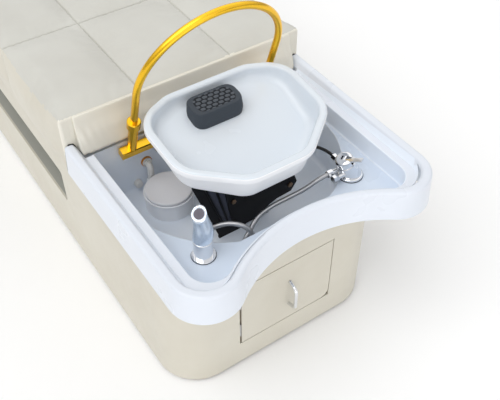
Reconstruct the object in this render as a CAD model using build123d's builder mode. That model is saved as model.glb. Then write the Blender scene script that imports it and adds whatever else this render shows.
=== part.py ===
"""Hair washing bed: quilted couch, wash tray with tilting basin, rain arch, mixer and hand shower."""
import os
from math import atan, cos, pi, radians, sin, sqrt, tan

from build123d import *

os.makedirs("parts", exist_ok=True)

# Driving dimensions, in millimetres. X runs across the bed, -Y is the operator's end, Z is up.
bed_length = 2000
bed_width = 700
mattress_top = 633
cushion_thickness = 167
tray_reach = 586
overrun = 20
fit_gap = 0.3

bed_half = bed_width / 2
head_y = tray_reach - bed_length / 2
foot_y = bed_length / 2
seat_z = mattress_top - cushion_thickness


def save(builder, name):
    """Label a finished piece and write it."""
    builder.part.label = name
    export_step(builder.part, "parts/" + name + ".step")


# Base: a plywood box on low glides, wrapped in padded leatherette
base_inset = 33
base_front = 439
base_corner = 115
cover_thickness = 6
board_thickness = 12
glide_height = 8
glide_radius = 22
glide_share = 0.82
board_top_thickness = 18
deck_lift = 3
shelf_lift = 57

deck_underside = seat_z + deck_lift
shelf_underside = seat_z + shelf_lift
base_half = bed_half - base_inset
base_front_y = head_y - base_front
base_back_y = foot_y - base_inset
base_mid_y = (base_front_y + base_back_y) / 2
base_length = base_back_y - base_front_y
carcass_half = base_half - cover_thickness
panel_inner = carcass_half - board_thickness
wall_top = seat_z - board_top_thickness
front_corner_y = base_front_y + base_corner
back_corner_y = base_back_y - base_corner


def base_outline(inset):
    """Rounded outline of the base, drawn in on every side."""
    with BuildSketch() as outline:
        with Locations((0, base_mid_y)):
            RectangleRounded(2 * (base_half - inset), base_length - 2 * inset, base_corner - inset)
    return outline.sketch


# Door in the operator's end: opening, leaf and its hinge line on the left
door_left = -138
door_right = 150
door_bottom = 88
door_top = 316
door_gap = 2.5
door_slit = 6
door_corner = 26
door_board = 12
door_pad_thickness = 6
door_width = door_right - door_left
door_height = door_top - door_bottom
door_mid_x = (door_left + door_right) / 2
door_mid_z = (door_bottom + door_top) / 2

# Niche in each side of the base
niche_start = 183
niche_share = 0.4
niche_bottom = 190
niche_height = 116
niche_depth = 200
niche_corner = 12
niche_board = 9
niche_length = niche_share * bed_length
niche_mid_y = head_y + niche_start + niche_length / 2
niche_mid_z = niche_bottom + niche_height / 2

# Notch in the top of the end shell, where the tray's well comes forward
well_notch_half = 178
well_notch_bottom = 385
well_notch_height = deck_underside - well_notch_bottom + overrun

end_face = Plane.XZ.offset(-base_front_y)

with BuildPart() as end_shell_head:
    with BuildSketch(Plane.XY.offset(glide_height)):
        add(base_outline(cover_thickness))
        add(base_outline(cover_thickness + board_thickness), mode=Mode.SUBTRACT)
        with Locations((0, front_corner_y + base_length / 2)):
            Rectangle(bed_width, base_length, mode=Mode.SUBTRACT)
    extrude(amount=deck_underside - glide_height)
    with BuildSketch(end_face):
        with Locations((door_mid_x, door_mid_z)):
            Rectangle(door_width, door_height)
        with Locations((0, well_notch_bottom + well_notch_height / 2)):
            Rectangle(2 * well_notch_half, well_notch_height)
    extrude(amount=-base_corner, mode=Mode.SUBTRACT)
save(end_shell_head, "end_shell_head")

with BuildPart() as end_shell_foot:
    with BuildSketch(Plane.XY.offset(glide_height)):
        add(base_outline(cover_thickness))
        add(base_outline(cover_thickness + board_thickness), mode=Mode.SUBTRACT)
        with Locations((0, back_corner_y - base_length / 2)):
            Rectangle(bed_width, base_length, mode=Mode.SUBTRACT)
    extrude(amount=wall_top - glide_height)
save(end_shell_foot, "end_shell_foot")

rail_back = 48
rail_length = head_y - rail_back - front_corner_y
side_length = back_corner_y - front_corner_y
side_mid_y = (back_corner_y + front_corner_y) / 2
for side, side_name in ((-1, "left"), (1, "right")):
    with BuildPart() as side_panel:
        with BuildSketch(Plane.XY.offset(glide_height)):
            with Locations((side * (carcass_half - board_thickness / 2), side_mid_y)):
                Rectangle(board_thickness, side_length)
        extrude(amount=wall_top - glide_height)
        with BuildSketch(Plane.XY.offset(wall_top)):
            with Locations((side * (carcass_half - board_thickness / 2), front_corner_y + rail_length / 2)):
                Rectangle(board_thickness, rail_length)
        extrude(amount=shelf_underside - wall_top)
        with BuildSketch(Plane.YZ):
            with Locations((niche_mid_y, niche_mid_z)):
                RectangleRounded(niche_length, niche_height, niche_corner)
        extrude(amount=bed_half, both=True, mode=Mode.SUBTRACT)
    save(side_panel, "side_panel_" + side_name)

    niche_outer = 2 * niche_board
    with BuildPart() as niche_box:
        with BuildSketch(Plane.YZ.offset(side * panel_inner)):
            with Locations((niche_mid_y, niche_mid_z)):
                RectangleRounded(
                    niche_length + niche_outer, niche_height + niche_outer, niche_corner + niche_board)
        extrude(amount=-side * niche_depth)
        with BuildSketch(Plane.YZ.offset(side * panel_inner)):
            with Locations((niche_mid_y, niche_mid_z)):
                RectangleRounded(niche_length, niche_height, niche_corner)
        extrude(amount=-side * (niche_depth - niche_board), mode=Mode.SUBTRACT)
    save(niche_box, "niche_box_" + side_name)

with BuildPart() as floor_board:
    with BuildSketch(Plane.XY.offset(glide_height)):
        add(base_outline(cover_thickness + board_thickness))
    extrude(amount=board_thickness)
save(floor_board, "floor_board")

glide_x = carcass_half * glide_share
glide_y = base_length / 2 * glide_share
glide_places = [(x, base_mid_y + y) for x in (-glide_x, glide_x) for y in (-glide_y, glide_y)]
for index, (x, y) in enumerate(glide_places):
    with BuildPart() as glide:
        with BuildSketch():
            with Locations((x, y)):
                Circle(glide_radius)
        extrude(amount=glide_height)
        chamfer(glide.edges().group_by(Axis.Z)[0], glide_height / 4)
    save(glide, "glide_" + str(index + 1))

# Couch top: a board with a batten under its front edge, resting on the walls
batten_depth = 45
board_setback = 2

with BuildPart() as mattress_board:
    with BuildSketch(Plane.XY.offset(wall_top)):
        add(base_outline(cover_thickness))
        with Locations((0, head_y + board_setback - base_length / 2)):
            Rectangle(bed_width, base_length, mode=Mode.SUBTRACT)
    extrude(amount=board_top_thickness)
    with BuildSketch(Plane.XY.offset(wall_top)):
        with Locations((0, head_y + board_setback + board_top_thickness / 2)):
            Rectangle(2 * (panel_inner - fit_gap), board_top_thickness)
    extrude(amount=-batten_depth)
save(mattress_board, "mattress_board")

with BuildPart() as base_cover:
    with BuildSketch(Plane.XY.offset(glide_height)):
        add(base_outline(0))
        add(base_outline(cover_thickness), mode=Mode.SUBTRACT)
    extrude(amount=seat_z - fit_gap - glide_height)
    with BuildSketch(end_face):
        with Locations((door_mid_x, door_mid_z)):
            Rectangle(door_width, door_height)
    extrude(amount=-base_corner, mode=Mode.SUBTRACT)
    with BuildSketch(Plane.YZ):
        with Locations((niche_mid_y, niche_mid_z)):
            RectangleRounded(niche_length, niche_height, niche_corner)
    extrude(amount=bed_half, both=True, mode=Mode.SUBTRACT)
save(base_cover, "base_cover")

# Sewn pad on the end face above the door, with one rounded lower corner in view
end_pad_left = -185
end_pad_right = 27
end_pad_bottom = 321
end_pad_top = 455
end_pad_thickness = 4
end_pad_corner = 24
end_pad_round = 3

with BuildPart() as end_pad:
    with BuildSketch(end_face):
        with Locations(((end_pad_left + end_pad_right) / 2, (end_pad_bottom + end_pad_top) / 2)):
            RectangleRounded(end_pad_right - end_pad_left, end_pad_top - end_pad_bottom, end_pad_corner)
    extrude(amount=end_pad_thickness)
    fillet(end_pad.faces().sort_by(Axis.Y)[0].edges(), end_pad_round)
save(end_pad, "end_pad")

# Quilted cushion: the common body of three crowned profiles, one along each axis
column_seam = 130
row_count = 4
crown = 8.5
side_pull = 4
edge_round = 15
cushion_length = foot_y - head_y
row_pitch = cushion_length / row_count
seam_z = mattress_top - crown
edge_z = seam_z - edge_round
cushion_mid_z = (seat_z + edge_z) / 2
crown_column = (bed_half - side_pull - edge_round + column_seam) / 2

with BuildPart() as across_profile:
    with BuildSketch(Plane.XZ.offset(-foot_y - overrun)):
        with BuildLine():
            Line((-bed_half + side_pull, seat_z), (bed_half - side_pull, seat_z))
            for side in (-1, 1):
                lower = (side * (bed_half - side_pull), seat_z)
                bulge = (side * bed_half, cushion_mid_z)
                upper = (side * (bed_half - side_pull), edge_z)
                shoulder = (side * (bed_half - side_pull - edge_round), seam_z)
                ThreePointArc(lower, bulge, upper)
                Line(upper, shoulder)
                ThreePointArc(shoulder, (side * crown_column, mattress_top), (side * column_seam, seam_z))
            ThreePointArc((-column_seam, seam_z), (0, mattress_top), (column_seam, seam_z))
        make_face()
    extrude(amount=cushion_length + 2 * overrun)

with BuildPart() as along_profile:
    with BuildSketch(Plane.YZ.offset(-bed_half - overrun)):
        with BuildLine():
            Line((head_y, seat_z), (foot_y - side_pull, seat_z))
            Line((head_y, seat_z), (head_y, seam_z - edge_round / 2))
            Line((head_y, seam_z - edge_round / 2), (head_y + edge_round / 2, seam_z))
            for row in range(row_count):
                start = head_y + row * row_pitch + (edge_round / 2 if row == 0 else 0)
                end = head_y + (row + 1) * row_pitch - (side_pull + edge_round if row == row_count - 1 else 0)
                ThreePointArc((start, seam_z), ((start + end) / 2, mattress_top), (end, seam_z))
            Line((foot_y - side_pull - edge_round, seam_z), (foot_y - side_pull, edge_z))
            ThreePointArc((foot_y - side_pull, edge_z), (foot_y, cushion_mid_z), (foot_y - side_pull, seat_z))
        make_face()
    extrude(amount=bed_width + 2 * overrun)

with BuildPart() as mattress_cushion:
    with BuildSketch(Plane.XY.offset(seat_z)):
        with BuildLine():
            for side in (-1, 1):
                for row in range(row_count):
                    start = head_y + row * row_pitch
                    end = start + row_pitch
                    pulled = side * (bed_half - side_pull)
                    ThreePointArc((pulled, start), (side * bed_half, (start + end) / 2), (pulled, end))
            Line((-bed_half + side_pull, head_y), (bed_half - side_pull, head_y))
            Line((-bed_half + side_pull, foot_y), (bed_half - side_pull, foot_y))
        make_face()
    extrude(amount=cushion_thickness + overrun)
    add(across_profile.part, mode=Mode.INTERSECT)
    add(along_profile.part, mode=Mode.INTERSECT)
save(mattress_cushion, "mattress_cushion")

# Head-end panel of the couch: a wedge that leans out over the tray between its rims
panel_half = 312
panel_top = 622
panel_bottom = 529
panel_lean = 34
panel_bulge = 3

with BuildPart() as head_end_panel:
    with BuildSketch(Plane.YZ.offset(-panel_half)):
        with BuildLine():
            wedge_top = (head_y - fit_gap - panel_bulge, panel_top)
            wedge_toe = (head_y - panel_lean, panel_bottom + panel_bulge)
            wedge_belly = (head_y - panel_lean / 2 - 2 * panel_bulge, (panel_top + panel_bottom) / 2)
            Line((head_y - fit_gap, panel_bottom), (head_y - fit_gap, panel_top))
            Line((head_y - fit_gap, panel_top), wedge_top)
            ThreePointArc(wedge_top, wedge_belly, wedge_toe)
            Line(wedge_toe, (head_y - panel_lean + panel_bulge, panel_bottom))
            Line((head_y - panel_lean + panel_bulge, panel_bottom), (head_y - fit_gap, panel_bottom))
        make_face()
    extrude(amount=2 * panel_half)
save(head_end_panel, "head_end_panel")

# Bulkhead across the box, behind the tray's well
bulkhead_back = 40

with BuildPart() as bulkhead:
    with BuildSketch(Plane.XY.offset(glide_height + board_thickness)):
        with Locations((0, head_y + bulkhead_back + board_thickness / 2)):
            Rectangle(2 * panel_inner, board_thickness)
    extrude(amount=wall_top - glide_height - board_thickness)
save(bulkhead, "bulkhead")

# Wash tray: one thin-walled moulding with a rolled rim, a shelf, two corner decks and a deep well
rim_lift = 82
tray_wall = 4
apron_draft = 5
horn_radius = 88
bay_radius = 350
bay_reach = 499
crest_inset = 30
crest_lip = 25
crest_ease = 4
crest_foot = 38
crest_horn = 65
bay_crest = 33
deck_inset = 60
deck_horn = 50
bay_deck = 38
deck_thickness = 5
well_inset = 68
well_reach = 255
well_centre = 200
well_front = 428
well_back = 24
well_draft_front = 20
well_draft_side = 4
well_depth = 139
well_floor_round = 14
rim_end_gap = 2
saddle_inset = 34
saddle_reach = 40
saddle_lift = 46
crest_round = 8
shelf_round = 3
deck_round = 5
well_rim_round = 3
mouth_shortest = 9

tray_top = seat_z + rim_lift
saddle_z = seat_z + saddle_lift
saddle_half = bed_half - saddle_inset
well_half = bed_half - well_inset
shelf_z = shelf_underside + tray_wall
deck_z = deck_underside + deck_thickness
well_z = deck_z - well_depth
bay_centre_y = head_y - bay_reach - bay_radius


def tray_outline(half, horn, bay, back_y):
    """Plan of the tray: straight sides, two round horns and a bay cut in for the operator."""
    horn_x = half - horn
    horn_reach = sqrt((bay + horn) ** 2 - horn_x ** 2)
    horn_y = bay_centre_y + horn_reach
    touch_x = horn_x * bay / (bay + horn)
    touch_y = bay_centre_y + horn_reach * bay / (bay + horn)
    turn = radians(45) - atan(horn_reach / horn_x) / 2
    with BuildSketch() as outline:
        with BuildLine():
            Line((-half, back_y), (half, back_y))
            for side in (-1, 1):
                low = (side * (horn_x + horn * sin(turn)), horn_y - horn * cos(turn))
                Line((side * half, back_y), (side * half, horn_y))
                ThreePointArc((side * half, horn_y), low, (side * touch_x, touch_y))
            ThreePointArc((-touch_x, touch_y), (0, bay_centre_y + bay), (touch_x, touch_y))
        make_face()
    return outline.sketch


def well_outline(grow, drawn_in, drawn_front):
    """Plan of the well: an ellipse cut flat at the front, with straight sides to the back wall."""
    half = well_half + grow - drawn_in
    front_y = head_y - well_front - grow + drawn_front
    back_y = head_y - well_back + grow
    with BuildSketch() as outline:
        with Locations((0, head_y - well_centre)):
            Ellipse(half, well_reach + grow - drawn_in)
        with Locations((0, (head_y - well_centre + back_y) / 2)):
            Rectangle(2 * half, back_y - head_y + well_centre)
        with Locations((0, back_y + bed_length / 2)):
            Rectangle(bed_width, bed_length, mode=Mode.SUBTRACT)
        with Locations((0, front_y - bed_length / 2)):
            Rectangle(bed_width, bed_length, mode=Mode.SUBTRACT)
    return outline.sketch


with BuildPart() as well_space:
    with BuildSketch(Plane.XY.offset(deck_z)):
        add(well_outline(0, 0, 0))
    with BuildSketch(Plane.XY.offset(well_z)):
        add(well_outline(0, well_draft_side, well_draft_front))
    loft()
    fillet(well_space.edges().group_by(Axis.Z)[0], well_floor_round)

rim_back_y = head_y - rim_end_gap
wall_face_y = head_y - well_back
hollow_inset = tray_wall + apron_draft
drain_x = 70
drain_reach = 110
drain_y = head_y - drain_reach
drain_bore = 22
holder_inset = 134
holder_x = holder_inset - bed_half
holder_reach = 418
holder_y = head_y - holder_reach
mixer_inset = 136
mixer_x = bed_half - mixer_inset
mixer_reach = 399
mixer_y = head_y - mixer_reach
deck_bore = 17

with BuildPart() as shelf_space:
    for level, inset in ((tray_top, crest_lip), (shelf_z, crest_foot)):
        with BuildSketch(Plane.XY.offset(level)):
            add(tray_outline(bed_half - inset, horn_radius - inset + crest_ease,
                             bay_radius + inset - crest_ease, rim_back_y + overrun))
    loft(ruled=True)

with BuildPart() as deck_space:
    with BuildSketch(Plane.XY.offset(tray_top)):
        add(tray_outline(bed_half - deck_inset, deck_horn, bay_radius + bay_deck, wall_face_y))
    extrude(amount=deck_z - tray_top)
    fillet(deck_space.edges().group_by(Axis.Z)[0].sort_by(Axis.Y)[:-1], deck_round)


def mouth_edges(body, space, plane):
    """Edges of a body that lie in a plane and on the wall of a space cut into it."""
    found = []
    for edge in body.edges():
        middle = edge @ 0.5
        if abs(plane.to_local_coords(middle).Z) < fit_gap and edge.length > mouth_shortest:
            if space.part.distance_to(middle) < fit_gap:
                found.append(edge)
    return found


with BuildPart() as wash_tray:
    with BuildSketch(Plane.XY.offset(seat_z)):
        add(tray_outline(bed_half, horn_radius, bay_radius, rim_back_y))
    with BuildSketch(Plane.XY.offset(tray_top)):
        add(tray_outline(bed_half - apron_draft, horn_radius - apron_draft,
                         bay_radius + apron_draft, rim_back_y))
    loft(ruled=True)
    add(shelf_space.part, mode=Mode.SUBTRACT)
    crest_edges = wash_tray.edges().group_by(Axis.Z)[-1].filter_by(lambda edge: edge.length > 2 * crest_inset)
    fillet(crest_edges, crest_round)
    with BuildSketch(Plane.XY.offset(tray_top)):
        with Locations((0, rim_back_y)):
            Rectangle(2 * saddle_half, 2 * saddle_reach)
    extrude(amount=saddle_z - tray_top, mode=Mode.SUBTRACT)
    add(deck_space.part, mode=Mode.SUBTRACT)
    fillet(mouth_edges(wash_tray, deck_space, Plane.XY.offset(shelf_z)), shelf_round)
    with BuildSketch(Plane.XY.offset(deck_underside)):
        add(tray_outline(bed_half - hollow_inset, horn_radius - hollow_inset,
                         bay_radius + hollow_inset, rim_back_y - tray_wall))
    extrude(amount=seat_z - deck_underside - overrun, mode=Mode.SUBTRACT)
    with BuildSketch(Plane.XY.offset(saddle_z - tray_wall)):
        add(tray_outline(bed_half - hollow_inset, horn_radius - hollow_inset,
                         bay_radius + hollow_inset, rim_back_y - tray_wall))
        add(tray_outline(bed_half - deck_inset + tray_wall, deck_horn + tray_wall,
                         bay_radius + bay_deck - tray_wall, wall_face_y + tray_wall), mode=Mode.SUBTRACT)
    extrude(amount=seat_z - saddle_z - overrun, mode=Mode.SUBTRACT)
    with BuildSketch(Plane.XY.offset(shelf_underside)):
        add(tray_outline(bed_half - hollow_inset, horn_radius - hollow_inset,
                         bay_radius + hollow_inset, rim_back_y - saddle_reach - tray_wall))
        add(tray_outline(bed_half - deck_inset + tray_wall, deck_horn + tray_wall,
                         bay_radius + bay_deck - tray_wall, wall_face_y + tray_wall), mode=Mode.SUBTRACT)
    extrude(amount=seat_z - shelf_underside - overrun, mode=Mode.SUBTRACT)
    with BuildSketch(Plane.XY.offset(tray_top - crest_round)):
        add(tray_outline(bed_half - hollow_inset, horn_radius - hollow_inset,
                         bay_radius + hollow_inset, rim_back_y - saddle_reach - tray_wall))
        add(tray_outline(bed_half - crest_inset + tray_wall, crest_horn + tray_wall,
                         bay_radius + bay_crest - tray_wall, wall_face_y), mode=Mode.SUBTRACT)
    extrude(amount=shelf_underside - tray_top, mode=Mode.SUBTRACT)
    with BuildSketch(Plane.XY.offset(deck_z)):
        add(well_outline(tray_wall, 0, 0))
    with BuildSketch(Plane.XY.offset(well_z - tray_wall)):
        add(well_outline(tray_wall, well_draft_side, well_draft_front))
    loft()
    add(well_space.part, mode=Mode.SUBTRACT)
    fillet(mouth_edges(wash_tray, well_space, Plane.XY.offset(deck_z)), well_rim_round)
    with Locations((drain_x, drain_y, well_z)):
        Hole(drain_bore, depth=overrun)
    with Locations((holder_x, holder_y, deck_z), (mixer_x, mixer_y, deck_z)):
        Hole(deck_bore, depth=overrun)
save(wash_tray, "wash_tray")
print("tray", wash_tray.part.volume, len(wash_tray.part.solids()))

# Waste: flanged outlet in the well's floor, lift-out strainer, bottle trap and pipe down to the floor
outlet_flange_radius = 29
outlet_flange_height = 3
outlet_tail = 40
outlet_bore = 17
strainer_radius = 24
strainer_height = 4
strainer_post = 8
strainer_hole = 3
strainer_ring_share = 0.55
strainer_hole_count = 6
trap_radius = 33
trap_height = 84
trap_pipe_radius = 16
trap_bend = 45
trap_reach = 90

with BuildPart() as well_outlet:
    with BuildSketch(Plane.XY.offset(well_z)):
        with Locations((drain_x, drain_y)):
            Circle(outlet_flange_radius)
    extrude(amount=outlet_flange_height)
    with BuildSketch(Plane.XY.offset(well_z)):
        with Locations((drain_x, drain_y)):
            Circle(drain_bore - fit_gap)
    extrude(amount=-outlet_tail)
    with BuildSketch(Plane.XY.offset(well_z + outlet_flange_height)):
        with Locations((drain_x, drain_y)):
            Circle(outlet_bore)
    extrude(amount=-outlet_tail - overrun, mode=Mode.SUBTRACT)
save(well_outlet, "well_outlet")

with BuildPart() as well_strainer:
    with BuildSketch(Plane.XY.offset(well_z + outlet_flange_height)):
        with Locations((drain_x, drain_y)):
            Circle(strainer_radius)
            with PolarLocations(outlet_bore * strainer_ring_share, strainer_hole_count):
                Circle(strainer_hole, mode=Mode.SUBTRACT)
    extrude(amount=strainer_height)
    fillet(well_strainer.edges().group_by(Axis.Z)[-1].sort_by(SortBy.LENGTH)[-1], strainer_height / 2)
    with BuildSketch(Plane.XY.offset(well_z + outlet_flange_height + strainer_height)):
        with Locations((drain_x, drain_y)):
            Circle(strainer_hole)
    extrude(amount=strainer_post)
save(well_strainer, "well_strainer")

trap_top = well_z - outlet_tail
trap_mid = trap_top - trap_height / 2
floor_z = glide_height + board_thickness
with BuildPart() as waste_trap:
    with BuildSketch(Plane.XY.offset(trap_top)):
        with Locations((drain_x, drain_y)):
            Circle(trap_radius)
    extrude(amount=-trap_height)
    fillet(waste_trap.edges().group_by(Axis.Z)[0], trap_radius / 3)
    with BuildLine() as trap_run:
        FilletPolyline(
            (drain_x, drain_y, trap_mid),
            (drain_x, drain_y - trap_reach, trap_mid),
            (drain_x, drain_y - trap_reach, floor_z),
            radius=trap_bend,
        )
    with BuildSketch(Plane((drain_x, drain_y, trap_mid), x_dir=(1, 0, 0), z_dir=(0, -1, 0))):
        Circle(trap_pipe_radius)
    sweep(path=trap_run.line)
save(waste_trap, "waste_trap")

# Circulation filter in the well: round body on the floor, lid, inlet port on its back
filter_x = -140
filter_back = 118
filter_y = head_y - filter_back
filter_radius = 65
filter_height = 52
filter_lid_height = 10
filter_lid_radius = 62
filter_dish = 3
filter_waist = 3
port_radius = 10
port_height = 30
port_reach = 84
port_turn = 98

filter_top = well_z + filter_height
port_aim = (cos(radians(port_turn)), sin(radians(port_turn)), 0)
with BuildPart() as filter_body:
    with BuildSketch(Plane.XZ.offset(-filter_y)):
        with BuildLine():
            Polyline(
                (filter_x, well_z),
                (filter_x + filter_radius - filter_waist, well_z),
                (filter_x + filter_radius - filter_waist, filter_top - 2 * filter_waist),
                (filter_x + filter_radius, filter_top - filter_waist),
                (filter_x + filter_radius, filter_top),
                (filter_x, filter_top),
                close=True,
            )
        make_face()
    revolve(axis=Axis((filter_x, filter_y, 0), (0, 0, 1)))
    with BuildSketch(Plane((filter_x, filter_y, well_z + port_height), z_dir=port_aim)):
        Circle(port_radius)
    extrude(amount=port_reach)
save(filter_body, "filter_body")

with BuildPart() as filter_lid:
    with BuildSketch(Plane.XY.offset(filter_top)):
        with Locations((filter_x, filter_y)):
            Circle(filter_lid_radius)
    extrude(amount=filter_lid_height)
    fillet(filter_lid.edges().group_by(Axis.Z)[-1], filter_lid_height / 3)
    with BuildSketch(Plane.XY.offset(filter_top + filter_lid_height)):
        with Locations((filter_x, filter_y)):
            Circle(filter_lid_radius - filter_lid_height)
    extrude(amount=-filter_dish, mode=Mode.SUBTRACT)
save(filter_lid, "filter_lid")

# Wall fitting above the filter: seal on the back wall, elbow down to the port, small valve knob beside it
elbow_z = 421
elbow_radius = 8.5
elbow_bend_share = 0.85
elbow_hub = 13
elbow_hub_length = 4
seal_radius = 15
seal_thickness = 5
knob_shift = 64
knob_z = 362
knob_radius = 11
knob_length = 15

elbow_x = filter_x + (port_reach - port_radius) * port_aim[0]
elbow_y = filter_y + (port_reach - port_radius) * port_aim[1]
wall_plane = Plane.XZ.offset(-wall_face_y)
port_top = well_z + port_height + port_radius

with BuildPart() as elbow_seal:
    with BuildSketch(wall_plane):
        with Locations((elbow_x, elbow_z)):
            Circle(seal_radius)
    extrude(amount=seal_thickness)
    chamfer(elbow_seal.edges().sort_by(Axis.Y)[0], seal_thickness / 4)
save(elbow_seal, "elbow_seal")

elbow_face_y = wall_face_y - seal_thickness
elbow_bend = elbow_bend_share * (elbow_face_y - elbow_hub_length - elbow_y)
with BuildPart() as wall_elbow:
    with BuildSketch(Plane.XZ.offset(-elbow_face_y)):
        with Locations((elbow_x, elbow_z)):
            Circle(elbow_hub)
    extrude(amount=elbow_hub_length)
    with BuildLine() as elbow_run:
        FilletPolyline(
            (elbow_x, elbow_face_y - elbow_hub_length, elbow_z),
            (elbow_x, elbow_y, elbow_z),
            (elbow_x, elbow_y, port_top),
            radius=elbow_bend,
        )
    with BuildSketch(Plane.XZ.offset(elbow_hub_length - elbow_face_y)):
        with Locations((elbow_x, elbow_z)):
            Circle(elbow_radius)
    sweep(path=elbow_run.line)
save(wall_elbow, "wall_elbow")
print("elbow", elbow_x, elbow_y, elbow_face_y)

with BuildPart() as valve_knob:
    with BuildSketch(wall_plane):
        with Locations((elbow_x - knob_shift / 2, knob_z)):
            Circle(knob_radius)
    extrude(amount=knob_length)
    fillet(valve_knob.edges().sort_by(Axis.Y)[0], knob_radius / 3)
save(valve_knob, "valve_knob")

# Pedestal and fan-shaped front plate that carry the basin
pivot_reach = 265
pivot_y = head_y - pivot_reach
pivot_z = 548
pivot_radius = 8
running_gap = 0.05
pedestal_half = 55
pedestal_depth = 74
pedestal_wall = 5
cheek_half = 62
cheek_thickness = 8
cheek_head = 16
plate_front = 290
plate_thickness = 6

plate_y = head_y - plate_front + plate_thickness
pedestal_front_y = plate_y
pedestal_back_y = plate_y + pedestal_depth
pedestal_top = 470

with BuildPart() as basin_pedestal:
    with BuildSketch(Plane.XY.offset(well_z)):
        with Locations((0, (pedestal_front_y + pedestal_back_y) / 2)):
            Rectangle(2 * pedestal_half, pedestal_depth)
    extrude(amount=pedestal_top - well_z)
    with BuildSketch(Plane.XY.offset(well_z)):
        with Locations((0, (pedestal_front_y + pedestal_back_y) / 2)):
            Rectangle(2 * (pedestal_half - pedestal_wall), pedestal_depth - 2 * pedestal_wall)
    extrude(amount=pedestal_top - pedestal_wall - well_z, mode=Mode.SUBTRACT)
    for side in (-1, 1):
        with BuildSketch(Plane.YZ.offset(side * (cheek_half - cheek_thickness))):
            with BuildLine():
                Polyline(
                    (pedestal_front_y, pedestal_top - cheek_half),
                    (pedestal_front_y, pedestal_top),
                    (pivot_y - cheek_head, pivot_z),
                    (pivot_y + cheek_head, pivot_z),
                    (pedestal_back_y, pedestal_top),
                    (pedestal_back_y, pedestal_top - cheek_half),
                    close=True,
                )
            make_face()
            with Locations((pivot_y, pivot_z)):
                Circle(cheek_head)
                Circle(pivot_radius + running_gap, mode=Mode.SUBTRACT)
        extrude(amount=side * cheek_thickness)
save(basin_pedestal, "basin_pedestal")

fan_points = (
    (-165, 545), (-98, 345), (-98, well_z), (-35, well_z), (-3, 349), (77, 378),
    (120, 381), (137, 407), (127, 437), (74, 470), (46, 545),
)
fan_round = 6
rib_width = 6
rib_height = 4
rib_count = 3
rib_foot = (-84, 368)
rib_head = (-136, 530)
rib_foot_step = 11
rib_head_step = 25
rib_taper = 15
boss_x = -18
boss_z = 440
boss_radius = 5

fan_front = Plane.XZ.offset(plate_thickness - plate_y)
with BuildPart() as fan_plate:
    with BuildSketch(Plane.XZ.offset(-plate_y)):
        with BuildLine():
            Polyline(*fan_points, close=True)
        make_face()
    extrude(amount=plate_thickness)
    fillet(fan_plate.edges().filter_by(Axis.Y).group_by(Axis.Z)[-1], fan_round)
    for rib in range(rib_count):
        foot_x = rib_foot[0] + rib * rib_foot_step
        head_x = rib_head[0] + rib * rib_head_step
        with BuildSketch(fan_front):
            with BuildLine():
                Polyline(
                    (foot_x, rib_foot[1]), (foot_x + rib_width, rib_foot[1]),
                    (head_x + rib_width, rib_head[1]), (head_x, rib_head[1]), close=True,
                )
            make_face()
        extrude(amount=rib_height, taper=rib_taper)
    with BuildSketch(fan_front):
        with Locations((boss_x, boss_z)):
            Circle(boss_radius)
    extrude(amount=rib_height)
save(fan_plate, "fan_plate")

# Bolts on the plate: place across and up, head radius
bolt_places = (("plate_bolt_right", 114, 408, 8), ("plate_bolt_left", -55, 442, 7))
bolt_head_share = 0.7
for bolt_name, bolt_x, bolt_z, bolt_radius in bolt_places:
    with BuildPart() as plate_bolt:
        with BuildSketch(fan_front):
            with Locations((bolt_x, bolt_z)):
                RegularPolygon(bolt_radius, 6)
        extrude(amount=bolt_radius * bolt_head_share)
        chamfer(plate_bolt.faces().sort_by(Axis.Y)[0].edges(), bolt_radius / 6)
    save(plate_bolt, bolt_name)

# Basin: octagon in a plane that falls towards the operator, on lugs about a cross pivot
basin_front = 412
basin_front_z = 625
basin_tilt = 6.2
basin_points = ((82, 0), (206, 99), (208, 286), (111, 325))
basin_round = 84
basin_lip = 17
basin_rim = 18
basin_depth = 79
basin_wall = 5
basin_side_inset = 9
basin_taper = 12
basin_inner_taper = 12
basin_fall = 11
basin_floor_round = 24
basin_foot_round = 16
basin_rim_round = 7
lug_half = 53
lug_thickness = 10
lug_head = 13
lug_root = 26

basin_plane = Plane(
    origin=(0, head_y - basin_front, basin_front_z),
    x_dir=(1, 0, 0),
    z_dir=(0, -sin(radians(basin_tilt)), cos(radians(basin_tilt))),
)
basin_axis = Axis(basin_plane.origin, basin_plane.z_dir)


def basin_outline(inset, corner_round):
    """Octagonal outline of the basin's rim, drawn in all round."""
    left = [(-x, y) for x, y in reversed(basin_points)]
    with BuildSketch() as outline:
        with BuildLine():
            Polyline(*basin_points, *left, close=True)
        make_face()
        offset(amount=-inset, kind=Kind.INTERSECTION)
        fillet(outline.vertices(), corner_round)
    return outline.sketch


basin_outlet_v = 56
basin_outlet_radius = 15
basin_outlet_bore = 10
basin_outlet_drop = 18
floor_slope = radians(basin_tilt + basin_fall)

floor_plane = Plane(
    origin=basin_plane.from_local_coords((0, basin_outlet_v, -basin_depth)),
    x_dir=(1, 0, 0),
    z_dir=(0, -sin(floor_slope), cos(floor_slope)),
)


def edges_on(body, plane):
    """Edges of a body that lie in a plane."""
    return [edge for edge in body.edges() if abs(plane.to_local_coords(edge @ 0.5).Z) < fit_gap]


with BuildPart() as basin_space:
    with BuildSketch(basin_plane):
        add(basin_outline(basin_rim, basin_round - basin_rim))
    with BuildSketch(basin_plane.offset(-basin_depth - overrun)):
        add(basin_outline(basin_rim + basin_inner_taper, basin_round - basin_rim - basin_inner_taper))
    loft(ruled=True)
    split(bisect_by=floor_plane, keep=Keep.TOP)
    fillet(edges_on(basin_space, floor_plane), basin_floor_round)

lug_top_z = floor_plane.origin.Z + (pivot_y - floor_plane.origin.Y) * tan(floor_slope) - basin_wall / 2

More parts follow.
